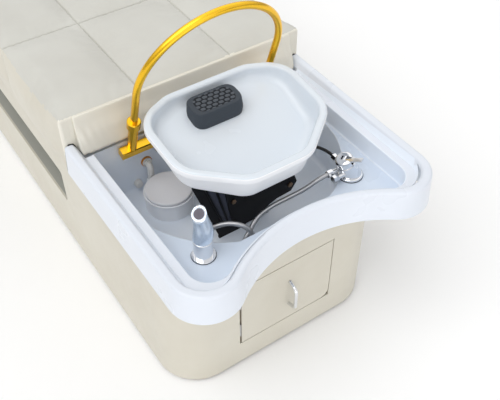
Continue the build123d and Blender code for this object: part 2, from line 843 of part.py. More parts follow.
with BuildPart() as wash_basin:
    with BuildSketch(basin_plane.offset(-basin_lip)):
        add(basin_outline(basin_side_inset, basin_round - basin_side_inset))
    with BuildSketch(basin_plane.offset(-basin_depth - basin_wall - overrun)):
        add(basin_outline(basin_side_inset + basin_taper, basin_round - basin_side_inset - basin_taper))
    loft(ruled=True)
    split(bisect_by=floor_plane.offset(-basin_wall), keep=Keep.TOP)
    fillet(edges_on(wash_basin, floor_plane.offset(-basin_wall)), basin_foot_round)
    with BuildSketch(basin_plane):
        add(basin_outline(0, basin_round))
    extrude(amount=-basin_lip)
    fillet(wash_basin.edges().group_by(basin_axis)[-1], basin_rim_round)
    add(basin_space.part, mode=Mode.SUBTRACT)
    fillet(mouth_edges(wash_basin, basin_space, basin_plane), basin_rim_round)
    with BuildSketch(floor_plane):
        Circle(basin_outlet_radius)
        Circle(basin_outlet_bore, mode=Mode.SUBTRACT)
    extrude(amount=-basin_wall - basin_outlet_drop)
    with BuildSketch(floor_plane.offset(basin_wall)):
        Circle(basin_outlet_bore)
    extrude(amount=-basin_wall - overrun - basin_outlet_drop, mode=Mode.SUBTRACT)
    for side in (-1, 1):
        with BuildSketch(Plane.YZ.offset(side * (lug_half - lug_thickness))):
            with BuildLine():
                Polyline(
                    (pivot_y - lug_head, pivot_z), (pivot_y + lug_head, pivot_z),
                    (pivot_y + lug_root, lug_top_z + lug_root * tan(floor_slope)),
                    (pivot_y - lug_root, lug_top_z - lug_root * tan(floor_slope)),
                    close=True,
                )
            make_face()
            with Locations((pivot_y, pivot_z)):
                Circle(lug_head)
        extrude(amount=side * lug_thickness)
        with BuildSketch(Plane.YZ.offset(side * lug_half)):
            with Locations((pivot_y, pivot_z)):
                Circle(pivot_radius)
        extrude(amount=side * (cheek_thickness + 2 * (cheek_half - cheek_thickness - lug_half)))
save(wash_basin, "wash_basin")
print("basin", wash_basin.part.volume, len(wash_basin.part.solids()), wash_basin.part.bounding_box())

# Neck rest: a soft block with a crowned top, seated on the basin's floor at the back
rest_half = 68
rest_x = -16
rest_levels = ((-70, 217, 283, 3), (-30, 217, 290, 0), (-9, 221, 294, 3))
rest_round = 28
rest_crown = 5
rest_crown_taper = 55

with BuildPart() as neck_rest:
    for level, front, back, drawn in rest_levels:
        with BuildSketch(basin_plane.offset(level)):
            with Locations((rest_x, (front + back) / 2)):
                RectangleRounded(2 * (rest_half - drawn), back - front, rest_round)
    loft()
    with BuildSketch(basin_plane.offset(level)):
        with Locations((rest_x, (front + back) / 2)):
            RectangleRounded(2 * (rest_half - drawn), back - front, rest_round)
    extrude(amount=rest_crown, taper=rest_crown_taper)
    split(bisect_by=floor_plane.offset(fit_gap), keep=Keep.TOP)
save(neck_rest, "neck_rest")

# Rain arch: manifold bar turning in two brackets, posts, collars and a bent tube
bar_reach = 40
bar_z = 492
bar_side = 25
bar_half = 222
bar_bevel = 2.5
journal_x = 110
journal_radius = 10
journal_length = 26
arch_lean = 18.5
post_x = 192
post_radius = 12
post_length = 100
collar_radius = 17
collar_length = 26
arch_tube_radius = 9
arch_straight = 224
nozzle_radius = 2
nozzle_depth = 2.5
nozzle_count = 9
nozzle_turn = 15
nozzle_setback = 1

bar_y = head_y - bar_reach
arch_up = (0, -sin(radians(arch_lean)), cos(radians(arch_lean)))
arch_plane = Plane(origin=(0, bar_y, bar_z), x_dir=(1, 0, 0), z_dir=(0, -arch_up[2], arch_up[1]))
leg_plane = Plane(origin=(0, bar_y, bar_z), x_dir=(1, 0, 0), z_dir=arch_up)

with BuildPart() as manifold_bar:
    with BuildSketch(Plane(origin=(-bar_half, bar_y, bar_z), x_dir=arch_plane.z_dir, z_dir=(1, 0, 0))):
        Rectangle(bar_side, bar_side)
    extrude(amount=2 * bar_half)
    chamfer(manifold_bar.edges().filter_by(Axis.X), bar_bevel)
    for side in (-1, 1):
        with BuildSketch(Plane.YZ.offset(side * journal_x - journal_length / 2)):
            with Locations((bar_y, bar_z)):
                Circle(bar_side)
                Circle(journal_radius, mode=Mode.SUBTRACT)
        extrude(amount=journal_length, mode=Mode.SUBTRACT)
    with BuildSketch(leg_plane):
        with Locations((-post_x, 0), (post_x, 0)):
            Circle(post_radius)
    extrude(amount=post_length)
save(manifold_bar, "manifold_bar")

for side, side_name in ((-1, "left"), (1, "right")):
    with BuildPart() as arch_collar:
        with BuildSketch(leg_plane.offset(post_length)):
            with Locations((side * post_x, 0)):
                Circle(collar_radius)
        extrude(amount=collar_length)
        chamfer(arch_collar.edges().filter_by(GeomType.CIRCLE), collar_radius / 8)
    save(arch_collar, "arch_collar_" + side_name)

arch_foot = post_length + collar_length
with BuildPart() as arch_tube:
    with BuildLine(arch_plane) as arch_run:
        Line((-post_x, arch_foot), (-post_x, arch_straight))
        ThreePointArc((-post_x, arch_straight), (0, arch_straight + post_x), (post_x, arch_straight))
        Line((post_x, arch_straight), (post_x, arch_foot))
    with BuildSketch(leg_plane.offset(arch_foot)):
        with Locations((-post_x, 0)):
            Circle(arch_tube_radius)
    sweep(path=arch_run.line)
    for nozzle in range(nozzle_count):
        turn = radians(90 + (nozzle - (nozzle_count - 1) / 2) * nozzle_turn)
        inner = post_x - arch_tube_radius - nozzle_setback
        mouth = arch_plane.from_local_coords(Vector(inner * cos(turn), arch_straight + inner * sin(turn), 0))
        outward = arch_plane.from_local_coords(Vector(cos(turn), sin(turn), 0)) - arch_plane.origin
        with BuildSketch(Plane(origin=mouth, z_dir=outward)):
            Circle(nozzle_radius)
        extrude(amount=nozzle_depth, mode=Mode.SUBTRACT)
save(arch_tube, "arch_tube")
print("arch", arch_tube.part.volume, arch_tube.part.bounding_box())

# Brackets of the bar: an eye round each journal and a foot on the back wall
eye_radius = 16
eye_length = 24
bracket_foot_top = 506
bracket_foot_bottom = 440
bracket_foot_half = 12
bracket_foot_thickness = 5
bracket_foot_height = bracket_foot_top - bracket_foot_bottom
bracket_nose_share = 0.9
for side, side_name in ((-1, "left"), (1, "right")):
    with BuildPart() as bar_bracket:
        with BuildSketch(Plane.YZ.offset(side * journal_x - eye_length / 2)):
            with BuildLine():
                Polyline(
                    (wall_face_y, bracket_foot_bottom + eye_radius), (wall_face_y, bracket_foot_top),
                    (bar_y, bar_z), (bar_y - eye_radius * bracket_nose_share, bar_z - eye_radius / 2), close=True,
                )
            make_face()
            with Locations((bar_y, bar_z)):
                Circle(eye_radius)
        extrude(amount=eye_length)
        with BuildSketch(wall_plane):
            with Locations((side * journal_x, (bracket_foot_top + bracket_foot_bottom) / 2)):
                RectangleRounded(2 * bracket_foot_half, bracket_foot_height, eye_radius / 3)
        extrude(amount=bracket_foot_thickness)
        with BuildSketch(Plane.YZ.offset(side * journal_x - eye_length)):
            with Locations((bar_y, bar_z)):
                Circle(journal_radius + running_gap)
        extrude(amount=2 * eye_length, mode=Mode.SUBTRACT)
    save(bar_bracket, "bar_bracket_" + side_name)

# Hand shower in its holder on the left deck
ring_radius = 28
ring_height = 4
cup_radius = 22
cup_bore = 15.5
cup_height = 48
stem_radius = 15.45
stem_lift = 16
neck_radius = 13
shoulder_radius = 19
shoulder_round = 6
face_z = 604
face_slant = 36
face_turn = 217
face_radius = 14
face_thickness = 2
head_height = 634

cup_z = deck_z + ring_height
with BuildPart() as hand_holder:
    with BuildSketch(Plane.XY.offset(deck_z)):
        with Locations((holder_x, holder_y)):
            Circle(ring_radius)
    extrude(amount=ring_height)
    chamfer(hand_holder.edges().group_by(Axis.Z)[-1], ring_height / 4)
    with BuildSketch(Plane.XY.offset(cup_z)):
        with Locations((holder_x, holder_y)):
            Circle(cup_radius)
    extrude(amount=cup_height)
    fillet(hand_holder.edges().group_by(Axis.Z)[-1], cup_radius / 8)
    with BuildSketch(Plane.XY.offset(deck_z)):
        with Locations((holder_x, holder_y)):
            Circle(cup_bore)
    extrude(amount=ring_height + cup_height, mode=Mode.SUBTRACT)
save(hand_holder, "hand_holder")

cup_top = cup_z + cup_height
face_slope = sin(radians(face_slant))
face_aim = radians(face_turn)
face_plane = Plane(
    origin=(holder_x, holder_y, face_z),
    z_dir=(face_slope * cos(face_aim), face_slope * sin(face_aim), cos(radians(face_slant))),
)
with BuildPart() as hand_shower:
    with BuildSketch(Plane.XZ.offset(-holder_y)):
        with BuildLine():
            Polyline(
                (holder_x, cup_z + stem_lift), (holder_x + neck_radius, cup_z + stem_lift),
                (holder_x + stem_radius, cup_z + stem_lift + stem_radius - neck_radius),
                (holder_x + stem_radius, cup_top + fit_gap),
                (holder_x + shoulder_radius, cup_top + fit_gap),
                (holder_x + shoulder_radius, head_height), (holder_x, head_height), close=True,
            )
        make_face()
    revolve(axis=Axis((holder_x, holder_y, 0), (0, 0, 1)))
    with BuildSketch(face_plane):
        Rectangle(4 * shoulder_radius, 4 * shoulder_radius)
    extrude(amount=head_height - face_z + overrun, mode=Mode.SUBTRACT)
    fillet(hand_shower.faces().sort_by(Axis.Z)[-1].edges(), shoulder_round / 2)
save(hand_shower, "hand_shower")

with BuildPart() as spray_face:
    with BuildSketch(face_plane):
        Circle(face_radius)
    extrude(amount=face_thickness)
    chamfer(spray_face.edges().filter_by(GeomType.CIRCLE).group_by(Axis.Z)[-1], face_thickness / 4)
save(spray_face, "spray_face")

# Mixer on the right deck: flange, leaning body with side outlets and a rear inlet, swivelling cap, lift lever
mixer_flange_radius = 31
mixer_flange_height = 7
mixer_radius = 25
mixer_lean = 24
mixer_lean_turn = 156
mixer_body_length = 36
mixer_shank_radius = 15
mixer_shank_drop = 46
mixer_outlet_radius = 6
mixer_outlet_z = 496
mixer_outlet_shifts = (13, -8)
mixer_outlet_y = [mixer_y + shift for shift in mixer_outlet_shifts]
mixer_outlet_reach = 166
mixer_inlet_x = 202
mixer_inlet_z = 500
mixer_inlet_reach = 39
nut_radius = 9
nut_length = 14
cap_radius = 23
cap_height = 21
cap_crown = 8
cap_slot_half = 6
cap_slot_floor = 4
lever_turn = -63.4
lever_root_radius = 6
lever_root_gap = 1
lever_pin_radius = 3
lever_pin_lift = 11
lever_half = 5.7
lever_reach = 54
lever_rise = 12
lever_thickness = 6
pin_share = 0.7

mixer_z = deck_z + mixer_flange_height
inlet_end_y = mixer_y + mixer_inlet_reach
lean_sin = sin(radians(mixer_lean))
lean_aim = radians(mixer_lean_turn)
mixer_axis = Vector(
    lean_sin * cos(lean_aim), lean_sin * sin(lean_aim), cos(radians(mixer_lean)))
lever_aim = Vector(cos(radians(lever_turn)), sin(radians(lever_turn)), 0)
lever_side = mixer_axis.cross(lever_aim).normalized()
mixer_plane = Plane(origin=(mixer_x, mixer_y, mixer_z), x_dir=lever_side.cross(mixer_axis), z_dir=mixer_axis)
cap_plane = mixer_plane.offset(mixer_body_length)
lever_plane = Plane(origin=cap_plane.origin, x_dir=mixer_plane.x_dir, z_dir=-lever_side)

with BuildPart() as mixer_flange:
    with BuildSketch(Plane.XY.offset(deck_z)):
        with Locations((mixer_x, mixer_y)):
            Circle(mixer_flange_radius)
    extrude(amount=mixer_flange_height)
    fillet(mixer_flange.edges().group_by(Axis.Z)[-1], mixer_flange_height / 2)
    with BuildSketch(Plane.XY.offset(deck_z)):
        with Locations((mixer_x, mixer_y)):
            Circle(mixer_shank_radius)
    extrude(amount=-mixer_shank_drop)
save(mixer_flange, "mixer_flange")

with BuildPart() as mixer_body:
    with BuildSketch(mixer_plane.offset(-mixer_radius)):
        Circle(mixer_radius)
    extrude(amount=mixer_body_length + mixer_radius)
    for outlet_y in mixer_outlet_y:
        with BuildSketch(Plane.YZ.offset(mixer_outlet_reach)):
            with Locations((outlet_y, mixer_outlet_z)):
                Circle(mixer_outlet_radius)
        extrude(amount=mixer_x - mixer_radius - mixer_outlet_reach + mixer_outlet_radius)
    with BuildSketch(Plane.XZ.offset(-mixer_y)):
        with Locations((mixer_inlet_x, mixer_inlet_z)):
            Circle(mixer_outlet_radius)
    extrude(amount=-mixer_inlet_reach)
    with BuildSketch(Plane.XZ.offset(-inlet_end_y)):
        with Locations((mixer_inlet_x, mixer_inlet_z)):
            RegularPolygon(nut_radius, 6)
    extrude(amount=-nut_length)
    with BuildSketch(Plane.YZ.offset(mixer_outlet_reach)):
        with Locations([(outlet_y, mixer_outlet_z) for outlet_y in mixer_outlet_y]):
            RegularPolygon(nut_radius, 6)
    extrude(amount=-nut_length)
    with BuildSketch(Plane.XY.offset(mixer_z)):
        with Locations((mixer_x, mixer_y)):
            Rectangle(4 * mixer_radius, 4 * mixer_radius)
    extrude(amount=-2 * mixer_radius, mode=Mode.SUBTRACT)
save(mixer_body, "mixer_body")

with BuildPart() as mixer_cap:
    with BuildSketch(cap_plane):
        Circle(cap_radius)
    extrude(amount=cap_height)
    fillet(mixer_cap.faces().sort_by(Axis.Z)[-1].edges(), cap_crown)
    with BuildSketch(lever_plane.offset(-cap_slot_half)):
        with Locations((lever_reach / 2 - lever_root_radius - lever_root_gap, cap_height / 2 + cap_slot_floor)):
            Rectangle(lever_reach, cap_height)
    extrude(amount=2 * cap_slot_half, mode=Mode.SUBTRACT)
    with BuildSketch(lever_plane.offset(-cap_radius)):
        with Locations((0, lever_pin_lift)):
            Circle(lever_pin_radius + running_gap)
    extrude(amount=2 * cap_radius, mode=Mode.SUBTRACT)
save(mixer_cap, "mixer_cap")

with BuildPart() as mixer_lever:
    with BuildSketch(lever_plane.offset(-lever_half)):
        with BuildLine():
            Polyline(
                (0, lever_pin_lift - lever_thickness / 2),
                (lever_reach, lever_pin_lift + lever_rise - lever_thickness / 3),
                (lever_reach, lever_pin_lift + lever_rise + lever_thickness / 3),
                (0, lever_pin_lift + lever_thickness / 2),
                close=True,
            )
        make_face()
        with Locations((0, lever_pin_lift)):
            Circle(lever_root_radius)
    extrude(amount=2 * lever_half)
    with BuildSketch(lever_plane.offset(-cap_radius * pin_share)):
        with Locations((0, lever_pin_lift)):
            Circle(lever_pin_radius)
    extrude(amount=2 * cap_radius * pin_share)
save(mixer_lever, "mixer_lever")
print("mixer", mixer_plane.origin, cap_plane.origin, mixer_axis, lever_side,
      lever_plane.from_local_coords(Vector(0, lever_pin_lift, 0)), lever_plane.y_dir)

# Couplings on the well's floor and on the pedestal, where the hoses end
coupling_radius = 10
coupling_flange_radius = 14
coupling_flange_height = 3
coupling_height = 14
coupling_front = 380
coupling_back = 322
coupling_xs = (-93, -172, -62)
coupling_reaches = (coupling_front, coupling_back, coupling_front)
coupling_places = [(x, head_y - reach) for x, reach in zip(coupling_xs, coupling_reaches)]
coupling_top = well_z + coupling_height
for index, (x, y) in enumerate(coupling_places):
    with BuildPart() as floor_coupling:
        with BuildSketch(Plane.XY.offset(well_z)):
            with Locations((x, y)):
                Circle(coupling_flange_radius)
        extrude(amount=coupling_flange_height)
        with BuildSketch(Plane.XY.offset(well_z)):
            with Locations((x, y)):
                RegularPolygon(coupling_radius, 6)
        extrude(amount=coupling_height)
    save(floor_coupling, "floor_coupling_" + str(index + 1))

side_fitting_reach = 252
side_fitting_y = head_y - side_fitting_reach
side_fitting_z = 446
side_fitting_radius = 8
side_fitting_length = 14
with BuildPart() as side_fitting:
    with BuildSketch(Plane.YZ.offset(cheek_half)):
        with Locations((side_fitting_y, side_fitting_z)):
            RegularPolygon(side_fitting_radius, 6)
    extrude(amount=side_fitting_length)
save(side_fitting, "side_fitting")

# Hoses: straight runs joined by tangent arcs, each bend as wide as its shorter run allows
braid_radius = 6
feed_radius = 4
bend_share = 0.45
fitting_lead = 24


def hose_radii(points):
    """Bend radius at every corner of a route, from the shorter run beside it and the turn."""
    radii = []
    for before, corner, after in zip(points, points[1:], points[2:]):
        first = Vector(*corner) - Vector(*before)
        second = Vector(*after) - Vector(*corner)
        half_turn = radians(first.get_angle(second) / 2)
        radii.append(bend_share * min(first.length, second.length) / tan(half_turn))
    return radii


nut_end_x = mixer_outlet_reach - nut_length
fitting_end_x = cheek_half + side_fitting_length
tail_z = cup_z + stem_lift
shank_z = deck_z - mixer_shank_drop
hose_routes = {
    "mixer_hose": (braid_radius, (
        (nut_end_x, mixer_outlet_y[0], mixer_outlet_z), (nut_end_x - fitting_lead, mixer_outlet_y[0], mixer_outlet_z),
        (94, head_y - 378, 474), (50, head_y - 367, 459), (6, head_y - 362, 452), (-36, head_y - 366, 446),
        (-70, head_y - 380, 424), (coupling_places[0][0], coupling_places[0][1], 386),
        (coupling_places[0][0], coupling_places[0][1], coupling_top),
    )),
    "loop_hose": (braid_radius, (
        (coupling_places[1][0], coupling_places[1][1], coupling_top),
        (coupling_places[1][0], coupling_places[1][1], 384),
        (-170, head_y - 334, 432), (-152, head_y - 356, 472), (-122, head_y - 384, 492),
        (-94, head_y - 404, 480), (-78, head_y - 410, 446), (-66, head_y - 398, 406),
        (coupling_places[2][0], coupling_places[2][1], 376),
        (coupling_places[2][0], coupling_places[2][1], coupling_top),
    )),
    "feed_hose": (feed_radius, (
        (mixer_inlet_x, inlet_end_y + nut_length, mixer_inlet_z),
        (mixer_inlet_x, head_y - 324, mixer_inlet_z), (186, head_y - 294, 503), (158, head_y - 272, 494),
        (128, head_y - 258, 470), (fitting_end_x + fitting_lead, side_fitting_y, side_fitting_z),
        (fitting_end_x, side_fitting_y, side_fitting_z),
    )),
    "hand_hose": (braid_radius, (
        (holder_x, holder_y, tail_z), (holder_x, holder_y, 484), (-213, head_y - 409, 450),
        (-208, head_y - 402, 396), (-196, head_y - 394, 334), (-168, head_y - 386, 278),
        (-116, head_y - 378, 248), (-52, head_y - 372, 236), (12, head_y - 370, 232),
        (76, head_y - 373, 238), (138, head_y - 382, 256), (188, head_y - 393, 298),
        (mixer_x, mixer_y, 358), (mixer_x, mixer_y, shank_z),
    )),
}
for hose_name, (hose_radius, route) in hose_routes.items():
    radii = hose_radii(route)
    with BuildPart() as hose:
        with BuildLine() as hose_run:
            FilletPolyline(*route, radius=radii)
        with BuildSketch(Plane(origin=route[0], z_dir=Vector(*route[1]) - Vector(*route[0]))):
            Circle(hose_radius)
        sweep(path=hose_run.line)
    save(hose, hose_name)
    length = sum(edge.length for edge in hose_run.edges())
    print(hose_name, "length", round(length), "radii", [round(r) for r in radii],
          "volume share", round(hose.part.volume / (length * pi * hose_radius ** 2), 4))

# Door: board and padded face, butt hinges in the slit on its left, bow handle
door_leaf_left = door_left + door_slit
door_leaf_right = door_right - door_gap
door_leaf_bottom = door_bottom + door_gap
door_leaf_top = door_top - door_gap
hinge_x = door_left + door_slit / 2
hinge_plate = 1.2
knuckle_radius = 2.5
hinge_y = base_front_y + knuckle_radius
hinge_pin_radius = 1.2
hinge_height = 50
knuckle_share = 0.4
hinge_inset = 30
handle_x = 14
handle_bottom = 150
handle_top = 240
handle_reach = 28
handle_radius = 5
handle_bend = 16
handle_lean = 10

door_layers = (("door_pad", 0, door_pad_thickness), ("door_board", door_pad_thickness, door_board))
for leaf_name, leaf_start, leaf_thickness in door_layers:
    with BuildPart() as door_layer:
        with BuildSketch(end_face.offset(-leaf_start)):
            with Locations(((door_leaf_left + door_leaf_right) / 2, (door_leaf_bottom + door_leaf_top) / 2)):
                Rectangle(door_leaf_right - door_leaf_left, door_leaf_top - door_leaf_bottom)
        extrude(amount=-leaf_thickness)
        fillet(door_layer.edges().filter_by(Axis.Y).sort_by(Axis.X)[-2:].sort_by(Axis.Z)[0], door_corner)
    save(door_layer, leaf_name)

with BuildPart() as door_handle:
    with BuildLine() as handle_run:
        FilletPolyline(
            (handle_x, base_front_y, handle_bottom),
            (handle_x, base_front_y - handle_reach, handle_bottom + handle_lean),
            (handle_x, base_front_y - handle_reach, handle_top - handle_lean),
            (handle_x, base_front_y, handle_top),
            radius=handle_bend,
        )
    with BuildSketch(Plane(origin=handle_run.line @ 0, z_dir=handle_run.line % 0)):
        Circle(handle_radius)
    sweep(path=handle_run.line)
    with BuildSketch(end_face):
        with Locations((0, 0)):
            Rectangle(2 * bed_width, 2 * bed_width)
    extrude(amount=-overrun, mode=Mode.SUBTRACT)
save(door_handle, "door_handle")

knuckle_length = hinge_height * knuckle_share
hinge_starts = (door_leaf_bottom + hinge_inset, door_leaf_top - hinge_inset - hinge_height)
plate_back_y = base_front_y + door_pad_thickness + door_board
leaf_front_y = hinge_y + knuckle_radius + fit_gap
for hinge_name, hinge_start in zip(("lower", "upper"), hinge_starts):
    middle_start = hinge_start + (hinge_height - knuckle_length) / 2
    with BuildPart() as hinge_frame:
        with BuildSketch(Plane.XY.offset(hinge_start)):
            with Locations((door_left + hinge_plate / 2, (hinge_y + plate_back_y) / 2)):
                Rectangle(hinge_plate, plate_back_y - hinge_y)
            with Locations((hinge_x, hinge_y)):
                Circle(knuckle_radius)
        extrude(amount=hinge_height)
        with BuildSketch(Plane.XY.offset(middle_start - fit_gap)):
            with Locations((hinge_x, hinge_y)):
                Circle(knuckle_radius + fit_gap)
        extrude(amount=knuckle_length + 2 * fit_gap, mode=Mode.SUBTRACT)
        with BuildSketch(Plane.XY.offset(hinge_start)):
            with Locations((hinge_x, hinge_y)):
                Circle(hinge_pin_radius)
        extrude(amount=hinge_height)
    save(hinge_frame, "hinge_frame_" + hinge_name)

    with BuildPart() as hinge_leaf:
        with BuildSketch(Plane.XY.offset(hinge_start)):
            with Locations((door_leaf_left - hinge_plate / 2, (leaf_front_y + plate_back_y) / 2)):
                Rectangle(hinge_plate, plate_back_y - leaf_front_y)
        extrude(amount=hinge_height)
        with BuildSketch(Plane.XY.offset(middle_start)):
            with Locations((hinge_x, hinge_y)):
                Circle(knuckle_radius)
            with Locations((door_leaf_left - hinge_plate / 2, hinge_y + knuckle_radius)):
                Rectangle(hinge_plate, 2 * knuckle_radius)
            with Locations((hinge_x, hinge_y)):
                Circle(hinge_pin_radius + running_gap, mode=Mode.SUBTRACT)
        extrude(amount=knuckle_length)
    save(hinge_leaf, "hinge_leaf_" + hinge_name)
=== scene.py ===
import math

import bmesh
import bpy
import numpy as np
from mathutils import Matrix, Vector


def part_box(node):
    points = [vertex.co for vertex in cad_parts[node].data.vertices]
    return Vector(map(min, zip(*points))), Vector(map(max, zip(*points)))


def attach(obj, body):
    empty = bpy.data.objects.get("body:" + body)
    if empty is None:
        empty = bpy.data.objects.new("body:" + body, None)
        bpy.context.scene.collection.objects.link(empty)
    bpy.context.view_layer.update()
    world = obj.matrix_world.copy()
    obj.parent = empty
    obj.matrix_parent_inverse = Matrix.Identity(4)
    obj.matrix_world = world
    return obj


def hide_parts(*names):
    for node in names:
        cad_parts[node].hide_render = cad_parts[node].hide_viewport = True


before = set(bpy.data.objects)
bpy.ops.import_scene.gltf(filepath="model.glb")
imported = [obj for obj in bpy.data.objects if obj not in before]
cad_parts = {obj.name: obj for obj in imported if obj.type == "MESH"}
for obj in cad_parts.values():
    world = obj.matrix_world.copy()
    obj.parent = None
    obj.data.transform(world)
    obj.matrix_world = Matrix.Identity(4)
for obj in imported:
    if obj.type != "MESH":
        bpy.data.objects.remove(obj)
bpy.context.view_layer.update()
print("frame loaded,", len(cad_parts), "nodes")

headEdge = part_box("mattress_cushion")[0][1]  # where the couch ends and the tray begins


def aimed(name, data, place, direction):
    # a camera or a lamp at a place, looking along a direction
    holder = bpy.data.objects.new(name, data)
    holder.location = place
    holder.rotation_mode = "QUATERNION"
    holder.rotation_quaternion = direction.to_track_quat("-Z", "Y")
    bpy.context.scene.collection.objects.link(holder)
    return holder


# camera, solved against the photo's tray, cushion and door edges
camera = {"azimuth": -34.1, "elevation": 45.6, "sensor": 36, "focalShare": 757.6 / 500,
          "place": (-0.7362, -1.3678, 1.7481)}
camData = bpy.data.cameras.new("camera")
camData.sensor_width = camera["sensor"]
camData.lens = camera["sensor"] * camera["focalShare"]
turn, rise = math.radians(camera["azimuth"]), math.radians(camera["elevation"])
towardCamera = Vector((math.sin(turn) * math.cos(rise), -math.cos(turn) * math.cos(rise), math.sin(rise)))
cameraPlace = Vector(camera["place"]) + Vector((0, headEdge, 0))
bpy.context.scene.camera = aimed("camera", camData, cameraPlace, -towardCamera)


def shaderOf(mat):
    return mat.node_tree.nodes["Principled BSDF"]


def newMaterial(name, colour, rough, metal=0.0, coat=0.0, coatRough=0.12, sheen=0.0, spec=0.5):
    mat = bpy.data.materials.new(name)
    mat.use_nodes = True
    inputs = shaderOf(mat).inputs
    inputs["Base Color"].default_value = (*colour, 1)
    inputs["Roughness"].default_value = rough
    inputs["Metallic"].default_value = metal
    inputs["Coat Weight"].default_value = coat
    inputs["Coat Roughness"].default_value = coatRough
    inputs["Sheen Weight"].default_value = sheen
    inputs["Specular IOR Level"].default_value = spec
    return mat


def addNode(owner, kind, **values):
    # a node in a material or the world; each value goes to the input or the setting of that name
    node = owner.node_tree.nodes.new(kind)
    for key, value in values.items():
        if key in node.inputs:
            node.inputs[key].default_value = value
        else:
            setattr(node, key, value)
    return node


def link(owner, fromSocket, toSocket):
    owner.node_tree.links.new(fromSocket, toSocket)


def coords(mat, kind="Object", scale=(1, 1, 1)):
    source = addNode(mat, "ShaderNodeTexCoord")
    mapping = addNode(mat, "ShaderNodeMapping", Scale=scale)
    link(mat, source.outputs[kind], mapping.inputs["Vector"])
    return mapping.outputs["Vector"]


def noiseAt(mat, where, scale, detail=3.0, rough=0.55):
    node = addNode(mat, "ShaderNodeTexNoise", Scale=scale, Detail=detail, Roughness=rough)
    link(mat, where, node.inputs["Vector"])
    return node.outputs["Fac"]


def spread(owner, socket, low, high, fromLow=0.3, fromHigh=0.7):
    # the range fromLow to fromHigh drawn out to low to high, where each end is a number or a socket
    node = addNode(owner, "ShaderNodeMapRange")
    for name, value in (("From Min", fromLow), ("From Max", fromHigh), ("To Min", low), ("To Max", high)):
        if isinstance(value, bpy.types.NodeSocket):
            link(owner, value, node.inputs[name])
        else:
            node.inputs[name].default_value = value
    link(owner, socket, node.inputs["Value"])
    return node.outputs["Result"]


def tint(mat, socket, dark, light):
    # the base colour drifts between two tones
    mix = addNode(mat, "ShaderNodeMix", data_type="RGBA")
    mix.inputs["A"].default_value = (*dark, 1)
    mix.inputs["B"].default_value = (*light, 1)
    link(mat, spread(mat, socket, 0.0, 1.0), mix.inputs["Factor"])
    link(mat, mix.outputs["Result"], shaderOf(mat).inputs["Base Color"])


def roughFrom(mat, socket, low, high):
    link(mat, spread(mat, socket, low, high), shaderOf(mat).inputs["Roughness"])


def bumpFrom(mat, socket, height, strength=1.0, under=None):
    # a bump of the given height, laid over the bump under it
    node = addNode(mat, "ShaderNodeBump", Distance=height, Strength=strength)
    link(mat, socket, node.inputs["Height"])
    if under:
        link(mat, under, node.inputs["Normal"])
    link(mat, node.outputs["Normal"], shaderOf(mat).inputs["Normal"])
    return node.outputs["Normal"]


# leatherette: fine pebble grain over slow folds, with a little colour drift
leather = {"pebble": 900.0, "pebbleHeight": 0.00012, "folds": 9.0, "foldHeight": 0.0016,
           "drift": 5.0, "wear": 30.0}


def leatherette(name, dark, light, rough=0.46, folded=leather["foldHeight"]):
    mat = newMaterial(name, light, rough, sheen=0.08)
    where = coords(mat)
    tint(mat, noiseAt(mat, where, leather["drift"]), dark, light)
    cells = addNode(mat, "ShaderNodeTexVoronoi", Scale=leather["pebble"], Randomness=0.85)
    link(mat, where, cells.inputs["Vector"])
    folds = bumpFrom(mat, noiseAt(mat, where, leather["folds"], 2.0), folded)
    bumpFrom(mat, cells.outputs["Distance"], leather["pebbleHeight"], 0.6, folds)
    roughFrom(mat, noiseAt(mat, where, leather["wear"]), rough - 0.05, rough + 0.07)
    return mat


# moulded plastic and rubber: a fine grain over slow waves of the mould
plastic = {"grain": 1400.0, "waves": 7.0, "drift": 3.5, "wear": 6.0}


def mouldedPlastic(name, colour, rough, grain=0.00002, drift=0.03, coat=0.0, spec=0.5, wave=0.0002):
    mat = newMaterial(name, colour, rough, coat=coat, spec=spec)
    where = coords(mat)
    darker = tuple(max(0.0, value - drift) for value in colour)
    tint(mat, noiseAt(mat, where, plastic["drift"]), darker, colour)
    waves = bumpFrom(mat, noiseAt(mat, where, plastic["waves"], 0.0), wave, 0.5)
    bumpFrom(mat, noiseAt(mat, where, plastic["grain"], 2.0), grain, 0.5, waves)
    roughFrom(mat, noiseAt(mat, where, plastic["wear"]), rough - 0.02, rough + 0.04)
    return mat


# metal: a slight drift of tone and polish, and fine lines where it is brushed
metal = {"lines": 2600.0, "lineScale": (1, 1, 0.04), "drift": 7.0, "darker": 0.9, "wear": 9.0}


def polishedMetal(name, colour, rough, brushed=0.0):
    mat = newMaterial(name, colour, rough, metal=1.0)
    where = coords(mat)
    darker = tuple(value * metal["darker"] for value in colour)
    tint(mat, noiseAt(mat, where, metal["drift"]), darker, colour)
    if brushed:
        bumpFrom(mat, noiseAt(mat, coords(mat, scale=metal["lineScale"]), metal["lines"], 2.0), brushed, 0.5)
    roughFrom(mat, noiseAt(mat, where, metal["wear"]), rough * 0.9, rough * 1.15)
    return mat


# timber: long streaks along Y with a fine grain
wood = {"streaks": (14, 2.0, 14), "drift": 6.0, "grain": 60.0, "grainHeight": 0.0003, "rough": 0.6}


def timber(name, dark, light):
    mat = newMaterial(name, light, wood["rough"])
    where = coords(mat, scale=wood["streaks"])
    tint(mat, noiseAt(mat, where, wood["drift"], 6.0), dark, light)
    bumpFrom(mat, noiseAt(mat, where, wood["grain"], 4.0), wood["grainHeight"], 0.6)
    return mat


